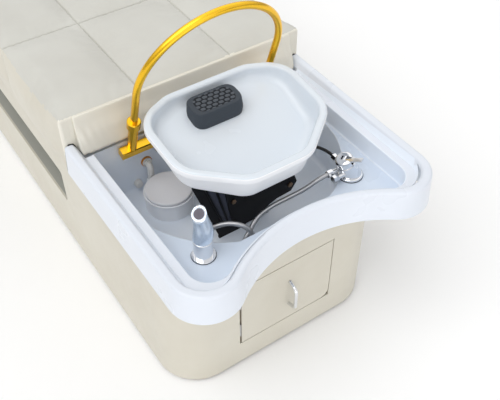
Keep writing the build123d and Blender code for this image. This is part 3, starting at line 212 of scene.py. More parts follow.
seatLeather = leatherette("seat leatherette", (0.575, 0.565, 0.515), (0.625, 0.62, 0.57))
panelLeather = leatherette("panel leatherette", (0.79, 0.76, 0.67), (0.84, 0.81, 0.72), folded=0.002)
baseLeather = leatherette("base leatherette", (0.62, 0.585, 0.495), (0.665, 0.635, 0.55), 0.5, folded=0.0006)
trayWhite = mouldedPlastic("tray white", (0.76, 0.80, 0.87), 0.28, coat=0.05, wave=0.00002)
# painted shade: the deck material is a darker, cooler copy of the tray white
deckPaintedShade = mouldedPlastic("tray deck painted shade", (0.665, 0.74, 0.845), 0.28, coat=0.05, wave=0.00002)
# painted light: the well material is a paler copy of the tray white, for the well and the inner rim walls
wellPaintedLight = mouldedPlastic("tray well painted light", (0.85, 0.91, 0.995), 0.34, wave=0.00002)
# painted light: the basin's outside material is a paler copy of the basin white
basinPaintedLight = mouldedPlastic("basin outside painted light", (0.945, 0.955, 0.975), 0.28, wave=0.00002)
basinWhite = mouldedPlastic("basin white", (0.73, 0.785, 0.845), 0.24, drift=0.01, coat=0.2)
restSlate = mouldedPlastic("neck rest slate", (0.058, 0.068, 0.082), 0.62, grain=0.00006, drift=0.01,
                           spec=0.25)
# painted highlight on the ribs and painted shade in the gaps of the rest's top
restRibPaintedHighlight = mouldedPlastic("rest ribs painted highlight", (0.085, 0.096, 0.112), 0.55, drift=0.01, spec=0.3)
restGapPaintedShade = mouldedPlastic("rest gaps painted shade", (0.022, 0.025, 0.030), 0.7, drift=0.004, spec=0.15)
archGold = polishedMetal("arch gold", (0.95, 0.56, 0.035), 0.25)
chrome = polishedMetal("chrome", (0.80, 0.81, 0.83), 0.09)
paleChrome = polishedMetal("pale chrome", (0.78, 0.85, 0.93), 0.16)
bronze = polishedMetal("bronze", (0.22, 0.15, 0.10), 0.3)
steel = polishedMetal("brushed steel", (0.56, 0.56, 0.57), 0.3, brushed=0.00002)
blackPlastic = mouldedPlastic("black plastic", (0.012, 0.012, 0.014), 0.55, drift=0.003, spec=0.16)
blackRubber = mouldedPlastic("black rubber", (0.02, 0.02, 0.022), 0.68, grain=0.0001)
# painted highlight: a paler copy of the black plastic for the plate's folds
facetPaintedHighlight = mouldedPlastic("plate facet painted highlight", (0.045, 0.05, 0.075), 0.5, drift=0.004)
meshGrey = mouldedPlastic("spray mesh", (0.13, 0.12, 0.15), 0.5, drift=0.01)
# painted light: the filter body is a paler copy of the lid's plastic, for the shade on its sides
filterPaintedLight = mouldedPlastic("filter painted light", (0.94, 0.955, 0.99), 0.45, drift=0.01)
lidGrey = mouldedPlastic("lid grey", (0.71, 0.715, 0.75), 0.5, drift=0.01)
whitePlastic = mouldedPlastic("pipe white", (0.74, 0.74, 0.73), 0.35)
amberRubber = mouldedPlastic("amber seal", (0.56, 0.22, 0.03), 0.35)
# painted shade: a darker copy of the base leatherette inside the niches and on their side panels
nichePaintedShade = mouldedPlastic("niche painted shade", (0.40, 0.40, 0.36), 0.6)
plywood = timber("plywood", (0.36, 0.24, 0.13), (0.50, 0.36, 0.21))

finishes = {
    seatLeather: ["mattress_cushion"],
    panelLeather: ["head_end_panel"],
    baseLeather: ["base_cover", "door_pad", "end_pad"],
    trayWhite: ["wash_tray"],
    basinWhite: ["wash_basin"],
    restSlate: ["neck_rest"],
    plywood: ["end_shell_head", "end_shell_foot", "floor_board", "bulkhead", "mattress_board", "door_board"],
    nichePaintedShade: ["niche_box_left", "niche_box_right", "side_panel_left", "side_panel_right"],
    archGold: ["manifold_bar", "arch_tube", "arch_collar_left", "arch_collar_right"],
    chrome: [
        "mixer_body", "mixer_cap", "mixer_lever", "mixer_flange", "hand_holder", "hand_shower", "door_handle",
        "well_outlet", "well_strainer", "side_fitting",
        "floor_coupling_1", "floor_coupling_2", "floor_coupling_3",
    ],
    bronze: ["plate_bolt_left", "plate_bolt_right"],
    steel: [
        "hinge_frame_lower", "hinge_frame_upper", "hinge_leaf_lower", "hinge_leaf_upper", "bar_bracket_left",
        "bar_bracket_right",
    ],
    blackPlastic: ["fan_plate", "basin_pedestal", "spray_face", "waste_trap"],
    blackRubber: ["glide_1", "glide_2", "glide_3", "glide_4"],
    filterPaintedLight: ["filter_body"],
    lidGrey: ["filter_lid"],
    whitePlastic: ["wall_elbow", "valve_knob"],
    amberRubber: ["elbow_seal"],
}
for mat, names in finishes.items():
    for name in names:
        mesh = bpy.data.objects[name].data
        mesh.materials.clear()
        mesh.materials.append(mat)


def facesOf(piece):
    # centres and normals of a piece's faces
    count = len(piece.data.polygons)
    found = []
    for what in ("center", "normal"):
        values = np.empty(count * 3)
        piece.data.polygons.foreach_get(what, values)
        found.append(values.reshape(-1, 3))
    return found


def outwardness(centres, normals, middle):
    # how far each face looks away from an upright axis: its normal times the direction from the axis
    away = centres[:, :2] - middle
    return (normals[:, :2] * away).sum(1) / np.linalg.norm(away, axis=1)


# painted light and shade by zone: a darker, cooler deck as painted shade, a paler well and inner rim walls as
# painted light, a paler outside of the basin as painted light
paintedTones = {
    "deckFrom": 0.4720, "deckTo": 0.4756, "deckLevel": 0.9,  # the deck's heights, and how level its faces are
    "wallTo": 0.536, "wellMiddle": (0.0, -0.64), "wellOutward": 0.25, "rimOutward": -0.3,
    "basinOutward": 0.25, "basinLevel": 0.5,
}
tray, bowl = bpy.data.objects["wash_tray"], bpy.data.objects["wash_basin"]
centres, normals = facesOf(tray)
height = centres[:, 2]
outward = outwardness(centres, normals, paintedTones["wellMiddle"])
# painted shade goes on the level deck faces
isDeck = (height > paintedTones["deckFrom"]) & (height < paintedTones["deckTo"]) & (normals[:, 2] > paintedTones["deckLevel"])
# painted light goes on the well faces and the inner walls of the rim
isWell = (height < paintedTones["deckFrom"]) & (outward < paintedTones["wellOutward"])
isWell |= (height > paintedTones["deckTo"]) & (height < paintedTones["wallTo"]) & (outward < paintedTones["rimOutward"])
tray.data.materials.append(deckPaintedShade)
tray.data.materials.append(wellPaintedLight)
tray.data.polygons.foreach_set("material_index", np.where(isDeck, 1, np.where(isWell, 2, 0)))
centres, normals = facesOf(bowl)
outward = outwardness(centres, normals, centres[:, :2].mean(0))
# painted light goes on the basin's outward, overhanging faces
isOutside = (outward > paintedTones["basinOutward"]) & (normals[:, 2] < paintedTones["basinLevel"])
bowl.data.materials.append(basinPaintedLight)
bowl.data.polygons.foreach_set("material_index", isOutside.astype(int))
print("finishes laid on the CAD nodes")


def makePiece(name, points, faces, mat, uv=None):
    # a smooth mesh object at the origin from arrays of points and faces
    mesh = bpy.data.meshes.new(name)
    mesh.from_pydata(points.reshape(-1, 3).tolist(), [], faces)
    mesh.update()
    if uv is not None:
        layer = mesh.uv_layers.new(name="UVMap")
        corner = np.empty(len(mesh.loops), dtype=np.int32)
        mesh.loops.foreach_get("vertex_index", corner)
        layer.data.foreach_set("uv", uv.reshape(-1, 2)[corner].astype(np.float32).ravel())
    mesh.polygons.foreach_set("use_smooth", [True] * len(mesh.polygons))
    mesh.materials.append(mat)
    piece = bpy.data.objects.new(name, mesh)
    bpy.context.scene.collection.objects.link(piece)
    return piece


def gridFaces(rows, columns, rings=False):
    # quads between neighbouring points of a rows by columns grid; a ring closes each row on itself
    r, c = np.meshgrid(np.arange(rows - 1), np.arange(columns if rings else columns - 1), indexing="ij")
    nextC = (c + 1) % columns
    quads = [r * columns + c, r * columns + nextC, (r + 1) * columns + nextC, (r + 1) * columns + c]
    return np.stack(quads, -1).reshape(-1, 4)


def ringFaces(rows, columns, lastEnd=True, flip=False):
    # quads between rings, with a face over the first ring and over the last, all turned round by flip
    faces = gridFaces(rows, columns, rings=True).tolist()
    faces.append(list(range(columns))[::-1])
    if lastEnd:
        faces.append(list(range((rows - 1) * columns, rows * columns)))
    return [face[::-1] for face in faces] if flip else faces


def mergePoints(piece, gap=1e-5):
    work = bmesh.new()
    work.from_mesh(piece.data)
    bmesh.ops.remove_doubles(work, verts=work.verts, dist=gap)
    bmesh.ops.recalc_face_normals(work, faces=work.faces)
    work.to_mesh(piece.data)
    work.free()


def readPoints(mesh):
    flat = np.empty(len(mesh.vertices) * 3)
    mesh.vertices.foreach_get("co", flat)
    return flat.reshape(-1, 3)


def writePoints(mesh, points):
    mesh.vertices.foreach_set("co", points.ravel())
    mesh.update()


# soft couch: a quilted cushion under pressure
couch = {
    "columnSeam": 0.130, "rows": 4, "crown": 0.0085, "crownShare": 0.6, "crownPower": 3, "edgeRound": 0.005,
    "grid": 0.0105, "sideGrid": 1.4, "seamStops": (0.0014, 0.0045),
    "sideBulge": 0.004, "sideFrom": 0.3, "sideDepth": 0.05, "sidePower": 2.5,
    # how firmly the cover is held near its seams, on its sides and at its rim, in shares of the edge's round
    "heldWidth": 0.002, "heldSide": 0.85, "heldRim": 0.9, "topShare": 0.3, "rimShare": 0.6, "belowShare": 1.2,
    "pressure": 3.2, "slack": 0.012, "cap": 0.010,
    "seamDepth": 0.0042, "seamWidth": 0.0014, "topFade": 0.004,
    "puckerHeight": 0.0007, "puckerPitch": 0.021, "puckerReach": 0.022, "puckerDrift": 0.35, "driftX": 27,
    "driftY": 31, "puckerShift": 0.2,
    "cornerPucker": 0.0013, "cornerPitch": 0.011, "cornerReach": 0.07, "cornerDrift": 90, "cornerBack": 0.6,
    "edgeReach": 0.014, "foldsFrom": 0.05, "foldsFade": 0.05,
    "skin": 0.006, "piping": 0.009,  # how near its sides, and how far under its top, another leather begins
}


def besides(seams):
    # stops close to each seam, so that its groove is narrow
    near, far = couch["seamStops"]
    return sorted(np.ravel([[s - far, s - near, s, s + near, s + far] for s in seams]))


def ticks(stops, step):
    # evenly divided stretches between the stops, no longer than the step
    counts = [max(1, int(np.ceil((b - a) / step))) for a, b in zip(stops, stops[1:])]
    parts = [np.linspace(a, b, count, endpoint=False) for a, b, count in zip(stops, stops[1:], counts)]
    return np.r_[np.concatenate(parts), stops[-1]]


def boxFaces(xs, ys, zs):
    # the six faces of a box as point grids, each with its quads; the corners and edges are merged after
    points, faces, start = [], [], 0
    for axis, (a, b) in enumerate(((ys, zs), (xs, zs), (xs, ys))):
        other = [k for k in range(3) if k != axis]
        for end, value in enumerate(((xs, ys, zs)[axis][0], (xs, ys, zs)[axis][-1])):
            u, v = np.meshgrid(a, b, indexing="ij")
            grid = np.zeros(u.shape + (3,))
            grid[..., axis] = value
            grid[..., other[0]], grid[..., other[1]] = u, v
            quads = gridFaces(len(a), len(b)) + start
            if (end == 1) != (axis == 1):
                quads = quads[:, ::-1]
            points.append(grid.reshape(-1, 3))
            faces.append(quads)
            start += u.size
    return np.concatenate(points), np.concatenate(faces).tolist()


def applyModifiers(piece):
    depsgraph = bpy.context.evaluated_depsgraph_get()
    done = bpy.data.meshes.new_from_object(piece.evaluated_get(depsgraph))
    piece.modifiers.clear()
    old = piece.data
    piece.data = done
    bpy.data.meshes.remove(old)


def inflate(piece, pinned, pressure, slack, cap, frames=20):
    # cloth under pressure with the pinned points held; each point moves no further than the cap
    start = readPoints(piece.data)
    group = piece.vertex_groups.new(name="held")
    for weight in np.unique(pinned[pinned > 0]):
        group.add(np.nonzero(pinned == weight)[0].tolist(), float(weight), "REPLACE")
    cloth = piece.modifiers.new("Cloth", "CLOTH")
    facts = cloth.settings
    facts.quality = 5
    facts.mass = 0.3
    facts.tension_stiffness = facts.compression_stiffness = 14
    facts.shear_stiffness = 6
    facts.bending_stiffness = 0.35
    facts.vertex_group_mass = "held"
    facts.shrink_min = -slack
    facts.use_pressure = True
    facts.uniform_pressure_force = pressure
    facts.effector_weights.gravity = 0
    cloth.point_cache.frame_start, cloth.point_cache.frame_end = 1, frames
    for number in range(1, frames + 1):
        bpy.context.scene.frame_set(number)
    applyModifiers(piece)
    bpy.context.scene.frame_set(1)
    moved = readPoints(piece.data) - start
    far = np.linalg.norm(moved, axis=1)
    moved *= np.minimum(1.0, cap / np.maximum(far, 1e-9))[:, None]
    writePoints(piece.data, start + moved)
    piece.vertex_groups.clear()


def subdivide(piece):
    modifier = piece.modifiers.new("Subdivision", "SUBSURF")
    modifier.levels = modifier.render_levels = 1
    applyModifiers(piece)
    piece.data.polygons.foreach_set("use_smooth", [True] * len(piece.data.polygons))


def cellPlace(value, seams):
    # place within the stretch between two seams, from -1 to 1
    index = np.clip(np.searchsorted(seams, value) - 1, 0, len(seams) - 2)
    a, b = seams[index], seams[index + 1]
    return (2 * value - a - b) / (b - a)


def seamGap(value, seams):
    # distance to the nearest of the seams
    return np.min(np.abs(value[:, None] - seams[None, :]), axis=1)


low, high = np.array(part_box("mattress_cushion"))
rowSeams = np.linspace(low[1], high[1], couch["rows"] + 1)
columnSeams = np.array([low[0], -couch["columnSeam"], couch["columnSeam"], high[0]])
seamTop = high[2] - couch["crown"]
edge = couch["edgeRound"]
xs = ticks([low[0], low[0] + edge, *besides(columnSeams[1:-1]), high[0] - edge, high[0]], couch["grid"])
ys = ticks([low[1], low[1] + edge, *besides(rowSeams[1:-1]), high[1] - edge, high[1]], couch["grid"])
zs = ticks([low[2], low[2] + edge, seamTop - edge, seamTop], couch["grid"] * couch["sideGrid"])
points, faces = boxFaces(xs, ys, zs)
# rounded edges: each point lies one radius out from the box that is smaller by that radius
inner = np.clip(points, low + edge, np.array([high[0], high[1], seamTop]) - edge)
out = points - inner
points = inner + edge * out / np.linalg.norm(out, axis=1)[:, None]
# each cell crowned by (1 - |x|^3)(1 - |y|^3), and the sides drawn in between the rows
cellX, cellY = cellPlace(points[:, 0], columnSeams), cellPlace(points[:, 1], rowSeams)
onTop = np.clip((points[:, 2] - (seamTop - edge)) / edge, 0, 1)
crownX, crownY = (1 - np.abs(cell) ** couch["crownPower"] for cell in (cellX, cellY))
points[:, 2] += onTop * couch["crownShare"] * couch["crown"] * crownX * crownY
upSide = np.clip((points[:, 2] - low[2]) / (seamTop - low[2]), 0, 1)
onSide = np.clip(np.abs(points[:, 0]) - couch["sideFrom"], 0, couch["sideDepth"]) / couch["sideDepth"]
bulge = (1 - np.abs(cellY) ** couch["sidePower"]) * np.sin(np.pi * upSide)
points[:, 0] -= np.sign(points[:, 0]) * couch["sideBulge"] * onSide * (1 - bulge)
cushion = makePiece("couchCushion", points, faces, seatLeather)
mergePoints(cushion)

at = readPoints(cushion.data)
onColumn = seamGap(at[:, 0], columnSeams[1:-1]) < couch["heldWidth"]
onRow = seamGap(at[:, 1], rowSeams[1:-1]) < couch["heldWidth"]
top = at[:, 2] > seamTop - couch["topShare"] * edge
atFoot = at[:, 2] < low[2] + couch["belowShare"] * edge
atEnds = (at[:, 1] < low[1] + edge) | (at[:, 1] > high[1] - couch["topShare"] * edge)
atRim = np.abs(at[:, 0]) > high[0] - couch["rimShare"] * edge
atRim &= at[:, 2] > seamTop - couch["belowShare"] * edge
held = np.zeros(len(at))
held[top & (onColumn | onRow)] = 1.0
held[~top & onRow] = couch["heldSide"]
held[atFoot | atEnds] = 1.0
held[atRim] = couch["heldRim"]
inflate(cushion, held, couch["pressure"], couch["slack"], couch["cap"])
print("cushion inflated")
subdivide(cushion)

# stitched seams: a groove exp(-(d / width)^2) along each, with small puckers beside it
at = readPoints(cushion.data)
x, y = at[:, 0], at[:, 1]
gapX, gapY = seamGap(x, columnSeams[1:-1]), seamGap(y, rowSeams[1:-1])
onTop = np.clip((at[:, 2] - (seamTop - couch["topFade"])) / couch["topFade"], 0, 1)
grooveX, grooveY = (np.exp(-(gap / couch["seamWidth"]) ** 2) for gap in (gapX, gapY))
sink = np.maximum(grooveX, grooveY) * couch["seamDepth"]
driftY = couch["puckerDrift"] * np.sin(y * couch["driftY"]) + couch["puckerShift"] * np.sign(x)
driftX = couch["puckerDrift"] * np.sin(x * couch["driftX"] + 1)
alongColumn = np.sin(2 * np.pi * (y / couch["puckerPitch"] + driftY)) * np.exp(-gapX / couch["puckerReach"])
alongRow = np.sin(2 * np.pi * (x / couch["puckerPitch"] + driftX)) * np.exp(-gapY / couch["puckerReach"])
at[:, 2] += onTop * (couch["puckerHeight"] * (alongColumn + alongRow) - sink)
# short folds run up to the edge seam near each corner
toSide, toEnd = high[0] - np.abs(x), np.minimum(y - low[1], high[1] - y)
nearCorner = np.exp(-(np.maximum(toSide, toEnd) / couch["cornerReach"]) ** 2)
nearEdge = np.exp(-(np.minimum(toSide, toEnd) / couch["edgeReach"]) ** 2)
nearEdge *= np.clip((at[:, 2] - low[2] - couch["foldsFrom"]) / couch["foldsFade"], 0, 1)
folds = np.sin(2 * np.pi * (x - y * np.sign(x)) / couch["cornerPitch"] + 2 * np.sin(y * couch["cornerDrift"]))
fold = couch["cornerPucker"] * nearCorner * nearEdge * folds
at[:, 2] += fold
at[:, 1] += couch["cornerBack"] * fold
writePoints(cushion.data, at)
# leather by place: the sides below the piping like the base, the two ends like the panel
faceAt = facesOf(cushion)[0]
toEnd, toSide = (np.minimum(faceAt[:, k] - low[k], high[k] - faceAt[:, k]) for k in (1, 0))
isEnd = toEnd < couch["skin"]
isBelow = (faceAt[:, 2] < high[2] - couch["piping"]) & (isEnd | (toSide < couch["skin"]))
cushion.data.materials.append(baseLeather)
cushion.data.materials.append(panelLeather)
cushion.data.polygons.foreach_set("material_index", np.where(isBelow, np.where(isEnd, 2, 1), 0))
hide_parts("mattress_cushion")
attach(cushion, "bed")
print("cushion", len(cushion.data.polygons), "faces")


def lengthTo(line):
    # length run along a line up to each of its points
    return np.r_[0, np.cumsum(np.linalg.norm(np.diff(line, axis=0), axis=1))]


def evenly(line, places):
    # points of a line at the given lengths along it
    run = lengthTo(line)
    return np.stack([np.interp(places, run, line[:, k]) for k in range(line.shape[1])], 1)


def closedLoop(corners, radius, count, cornerSteps=10):
    # a closed line through the corners, each rounded by a parabola over its radius, spaced evenly
    fine = []
    t = np.linspace(0, 1, cornerSteps)[:, None]
    for before, corner, after, r in zip(np.roll(corners, 1, 0), corners, np.roll(corners, -1, 0), radius):
        a = corner + (before - corner) * min(0.5, r / np.linalg.norm(before - corner))
        b = corner + (after - corner) * min(0.5, r / np.linalg.norm(after - corner))
        fine.append((1 - t) ** 2 * a + 2 * t * (1 - t) * corner + t ** 2 * b)
    fine = np.concatenate(fine)
    fine = np.r_[fine, fine[:1]]
    return evenly(fine, np.linspace(0, lengthTo(fine)[-1], count, endpoint=False))


# head-end panel: the wedge profile carried across, gathered a little towards its two ends
panel = {
    # corners of the wedge, each a distance from its back or its toe and from its foot or its top
    "drop": 0.0035, "lap": 0.003, "backGap": 0.0002, "heel": 0.001, "topDepth": 0.0045,
    "upperBend": (0.013, 0.032), "lowerBend": (0.024, 0.036), "toe": (0.0005, 0.006), "sole": (0.004, 0.0005),
    "rounds": (0.001, 0.001, 0.003, 0.05, 0.05, 0.006, 0.003), "around": 90,
    "across": 260, "endShares": (0, 0.0015, 0.004), "innerShare": 0.008,
    "endShrink": 0.10, "endReach": 0.0012, "frontFrom": 0.002, "frontFade": 0.006,
    "puff": 0.0022, "puffReach": 0.09, "fold": 0.0011, "foldDrift": (19, 40),
    "gather": 0.0014, "gatherPitch": 0.021, "gatherReach": 0.03, "gatherLean": 60,
}
low, high = np.array(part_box("head_end_panel"))
back, front, foot, top = high[1], low[1], low[2] - panel["drop"], high[2]
profile = np.array([
    (back - panel["backGap"], foot + panel["heel"]),
    (back - panel["backGap"], top + panel["lap"]),
    (back - panel["topDepth"], top + panel["lap"]),
    (back - panel["upperBend"][0], top - panel["upperBend"][1]),
    (back - panel["lowerBend"][0], foot + panel["lowerBend"][1]),
    (front + panel["toe"][0], foot + panel["toe"][1]),
    (front + panel["sole"][0], foot + panel["sole"][1]),
])
loop = closedLoop(profile, panel["rounds"], panel["around"])
middle = loop.mean(0)
ends = np.array(panel["endShares"])
between = np.linspace(panel["innerShare"], 1 - panel["innerShare"], panel["across"])
across = low[0] + (high[0] - low[0]) * np.r_[ends, between, 1 - ends[::-1]]
x, k = np.meshgrid(across, np.arange(len(loop)), indexing="ij")
toEnd = np.minimum(x - low[0], high[0] - x)
size = 1 - panel["endShrink"] * np.exp(-toEnd / panel["endReach"])
section = middle + (loop[k] - middle) * size[..., None]
outside = (loop[k] - middle) / np.linalg.norm(loop - middle, axis=1)[k][..., None]
isFront = np.clip((middle[0] + panel["frontFrom"] - section[..., 0]) / panel["frontFade"], 0, 1)
height = section[..., 1]
# the front swells by a sine of the distance to the end, with slow folds and short gathers near the ends
gathers = np.sin(2 * np.pi * x / panel["gatherPitch"] + panel["gatherLean"] * height)
swell = panel["puff"] * np.sin(np.pi * np.clip(toEnd / panel["puffReach"], 0, 0.5))
swell += panel["fold"] * np.sin(x * panel["foldDrift"][0] + height * panel["foldDrift"][1])
swell += panel["gather"] * gathers * np.exp(-toEnd / panel["gatherReach"])
section = section + outside * (swell * isFront)[..., None]
points = np.concatenate([x[..., None], section], -1)
endPanel = makePiece("headEndPanel", points, ringFaces(*x.shape, flip=True), panelLeather)
mergePoints(endPanel)
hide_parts("head_end_panel")
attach(endPanel, "bed")
print("head end panel laid")

# neck rest: a soft block on the basin's floor, its top pressed in a brick weave
neckRest = {
    "tilt": 6.2, "rimFront": (0.0, -0.412, 0.625), "centre": -0.016, "half": 0.068, "halfDepth": 0.0365,
    "corner": 0.030, "around": 320, "sideRows": 14, "edgeRows": 6, "rings": 74, "top": -0.0045, "edge": 0.003,
    # height, front, back, and how far the side is drawn in there
    "levels": ((-0.068, 0.217, 0.283, 0.003), (-0.030, 0.217, 0.290, 0.0), (-0.0095, 0.221, 0.294, 0.002)),
    "weaveAlong": 0.0165, "weaveAcross": 0.0108, "weaveHeight": 0.0022, "weavePower": 0.8,
    "weaveMiddle": 0.35, "border": 0.006, "borderFrom": 0.5, "ribFrom": 0.42,
}
lean = math.radians(neckRest["tilt"])
halves = (neckRest["half"], neckRest["halfDepth"])
shape = np.array([[-1, -1], [1, -1], [1, 1], [-1, 1]]) * halves
shape = closedLoop(shape, [neckRest["corner"]] * 4, neckRest["around"])
heights, fronts, backs, draws = np.array(neckRest["levels"]).T
# rings up the side, a quarter turn over its edge, and then inward across the top
quarter = np.linspace(0, np.pi / 2, neckRest["edgeRows"] + 1)[1:]
inward = np.linspace(1, 0, neckRest["rings"])[1:]
side = np.linspace(heights[0], heights[-1], neckRest["sideRows"])
overEdge = heights[-1] + (neckRest["top"] - heights[-1]) * np.sin(quarter)
level = np.r_[side, overEdge, np.full(len(inward), neckRest["top"])]
frontV, backV, drawn = (np.interp(level, heights, row) for row in (fronts, backs, draws))
drawn[len(side):] += neckRest["edge"] * (1 - np.cos(np.r_[quarter, np.full(len(inward), np.pi / 2)]))
share = np.r_[np.ones(len(side) + len(quarter)), inward]
halfU = (neckRest["half"] - drawn) * share
halfV = ((backV - frontV) / 2 - drawn) * share
u = neckRest["centre"] + shape[None, :, 0] / neckRest["half"] * halfU[:, None]
v = ((frontV + backV) / 2)[:, None] + shape[None, :, 1] / neckRest["halfDepth"] * halfV[:, None]
along = (u - neckRest["centre"]) / neckRest["weaveAlong"]
across = (v - v[-1].mean()) / neckRest["weaveAcross"]
# bumps cos(pi a) cos(pi b) in rows, every other row moved by half a bump
brick = np.floor(across)
a, b = (along + 0.5 * (brick % 2)) % 1 - 0.5, across - brick - 0.5
bump = (np.cos(np.pi * a) * np.cos(np.pi * b)) ** neckRest["weavePower"]
fromSide = (1 - share) * neckRest["halfDepth"] / neckRest["border"]
fade = np.clip(fromSide - neckRest["borderFrom"], 0, 1)[:, None]
w = level[:, None] + neckRest["weaveHeight"] * fade * (bump - neckRest["weaveMiddle"])
base = np.array(neckRest["rimFront"]) + (0, headEdge, 0)
tilted = [u, v * math.cos(lean) - w * math.sin(lean), v * math.sin(lean) + w * math.cos(lean)]
faces = ringFaces(*u.shape, lastEnd=False)
rest = makePiece("neckRestPad", base + np.stack(tilted, -1), faces, restSlate)
# painted relief: the ribs lighter as painted highlight and the gaps between them darker as painted shade, by
# the bump's height on each face of the top
rest.data.materials.append(restRibPaintedHighlight)
rest.data.materials.append(restGapPaintedShade)
lifted = fade * bump
faceBump, faceFade = ((lifted[:-1] + lifted[1:]) / 2).ravel(), np.repeat(fade[:-1, 0], u.shape[1])
look = np.zeros(len(faces), int)
look[:len(faceBump)] = np.where(faceFade > 0.5, np.where(faceBump > neckRest["ribFrom"], 1, 2), 0)
rest.data.polygons.foreach_set("material_index", look)
mergePoints(rest)
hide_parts("neck_rest")
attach(rest, "neck_rest")
print("neck rest laid")

# hand shower: round stem, a swelling neck and a slanted oval face that leans to the bed's left
handShower = {
    "foot": 0.4975, "footRim": 0.0128, "footEdge": 0.0022, "stem": 0.0152, "around": 64, "rows": 22,
    "cupTop": 0.5262, "shoulder": 0.0222, "shoulderSoft": 0.001, "shoulderRows": (0.0006, 0.0008, 0.0022),
    "faceHeight": 0.606, "slant": 38, "aim": 217, "faceRim": 0.0165, "faceHole": 0.0118, "oval": 1.16,
    "lean": (-0.0035, 0.0022), "hump": (0.0030, -0.0018),
    "swell": 0.0045, "swellAt": 0.30, "swellWide": 0.28, "swellAround": 0.25,
    "lipShare": 0.96, "lipHeight": 0.0008, "holeLip": 0.0006, "holeDepth": 0.002,
}
low, high = np.array(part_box("hand_shower"))
centre = (low[:2] + high[:2]) / 2
aim, slant = math.radians(handShower["aim"]), math.radians(handShower["slant"])
faceNormal = np.array([math.sin(slant) * math.cos(aim), math.sin(slant) * math.sin(aim), math.cos(slant)])
faceSide = np.array([-math.sin(aim), math.cos(aim), 0.0])
faceUp = np.cross(faceNormal, faceSide)
angle = np.linspace(0, 2 * np.pi, handShower["around"], endpoint=False)
ring = np.stack([np.cos(angle), np.sin(angle)], -1)
foot, cupTop, stem, shoulder = (handShower[key] for key in ("foot", "cupTop", "stem", "shoulder"))
stemEnd, shoulderFrom, shoulderTo = (cupTop + rise for rise in handShower["shoulderRows"])
stemRows = [
    (foot, handShower["footRim"]), (foot + handShower["footEdge"], stem), (stemEnd, stem),
    (shoulderFrom, shoulder - handShower["shoulderSoft"]), (shoulderTo, shoulder),
]
sections = [np.concatenate([centre + ring * r, np.full((len(ring), 1), z)], 1) for z, r in stemRows]
footRing = sections[-1]
# the face's own ring, on the slanted plane, in the same order of angles
faceCentre = np.array([*(centre + handShower["lean"]), handShower["faceHeight"]])
tilted = ring @ np.array([[-math.cos(aim), -math.sin(aim)], [math.sin(aim), -math.cos(aim)]]).T
upPart, sidePart = tilted[:, :1] * faceUp, tilted[:, 1:] * faceSide
faceRing = faceCentre + handShower["faceRim"] * (upPart * handShower["oval"] - sidePart)
# the neck: rings eased from the stem's to the face's, swollen by exp(-((share - at) / wide)^2) at the back
for share in np.linspace(0, 1, handShower["rows"])[1:]:
    ease = share * share * (3 - 2 * share)
    row = footRing * (1 - ease) + faceRing * ease
    row[:, 2] = footRing[:, 2] * (1 - share) + faceRing[:, 2] * share
    swell = handShower["swell"] * math.exp(-((share - handShower["swellAt"]) / handShower["swellWide"]) ** 2)
    behind = np.clip(-(ring @ faceNormal[:2]) / math.hypot(*faceNormal[:2]), 0, 1)
    reach = swell * (handShower["swellAround"] + (1 - handShower["swellAround"]) * behind)
    row[:, :2] += ring * reach[:, None] + np.array(handShower["hump"]) * math.sin(math.pi * share)
    sections.append(row)
# the lip of the face, and the hole that holds the perforated disc: radius, and height over the face
mouth = [
    (handShower["faceRim"] * handShower["lipShare"], handShower["lipHeight"]),
    (handShower["faceHole"], handShower["holeLip"]),
    (handShower["faceHole"], -handShower["holeDepth"]),
]
sections += [faceCentre + radius * (upPart - sidePart) + faceNormal * rise for radius, rise in mouth]
points = np.array(sections)
shower = makePiece("handShowerHead", points, ringFaces(*points.shape[:2]), paleChrome)
mergePoints(shower)
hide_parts("hand_shower")
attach(shower, "hand_shower")

# the perforated face, a little below its rim: rings of small pits
disc = {"rings": 26, "gap": 0.0002, "sunk": 0.0006, "thick": 0.0012,
        "pitDepth": 0.0005, "pitPitch": 0.0024, "pitWide": 0.0004, "leastPits": 6, "pitFrom": 0.35}
r, a = np.meshgrid(np.linspace(handShower["faceHole"] - disc["gap"], 0, disc["rings"]), angle, indexing="ij")
pitsAround = np.maximum(disc["leastPits"], np.round(r / disc["pitWide"]))
isPit = np.cos(2 * np.pi * r / disc["pitPitch"]) * np.cos(a * pitsAround) > disc["pitFrom"]
sunk = disc["sunk"] + disc["pitDepth"] * isPit
points = faceCentre + r[..., None] * (upPart - sidePart) - sunk[..., None] * faceNormal
points = np.concatenate([points[:1] - disc["thick"] * faceNormal, points])
sprayDisc = makePiece("sprayDisc", points, ringFaces(*points.shape[:2], lastEnd=False), meshGrey)
mergePoints(sprayDisc)
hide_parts("spray_face")
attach(sprayDisc, "hand_shower")
print("hand shower laid")


def turned(name, axis, profile, mat, around=96):
    # a body of revolution about an upright axis, from (radius, height) rows
    angle = np.linspace(0, 2 * np.pi, around, endpoint=False)
    profile = np.array(profile)
    points = np.empty((len(profile), around, 3))
    points[..., 0] = axis[0] + profile[:, :1] * np.cos(angle)
    points[..., 1] = axis[1] + profile[:, :1] * np.sin(angle)
    points[..., 2] = profile[:, 1:]
    piece = makePiece(name, points, gridFaces(len(profile), around, rings=True).tolist(), mat)
    mergePoints(piece)
    return piece


# filter lid: a shallow dome with a soft edge instead of the plain solid's dish
dome = {"edge": 0.004, "edgeRows": 8, "footRound": 0.001, "rise": 0.0012, "rows": 16}
low, high = np.array(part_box("filter_lid"))
centre, radius = (low[:2] + high[:2]) / 2, (high[0] - low[0]) / 2
edge, rise = dome["edge"], dome["rise"]
profile = [(0, low[2]), (radius - dome["footRound"], low[2]), (radius, low[2] + dome["footRound"])]
profile += [(radius - edge * (1 - math.cos(a)), high[2] - rise - edge * (1 - math.sin(a)))
            for a in np.linspace(0, np.pi / 2, dome["edgeRows"])]
profile += [(r, high[2] - rise * (r / radius) ** 2) for r in np.linspace(radius - edge, 0, dome["rows"])[1:]]
lid = turned("filterDome", centre, profile, lidGrey)
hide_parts("filter_lid")
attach(lid, "bed")
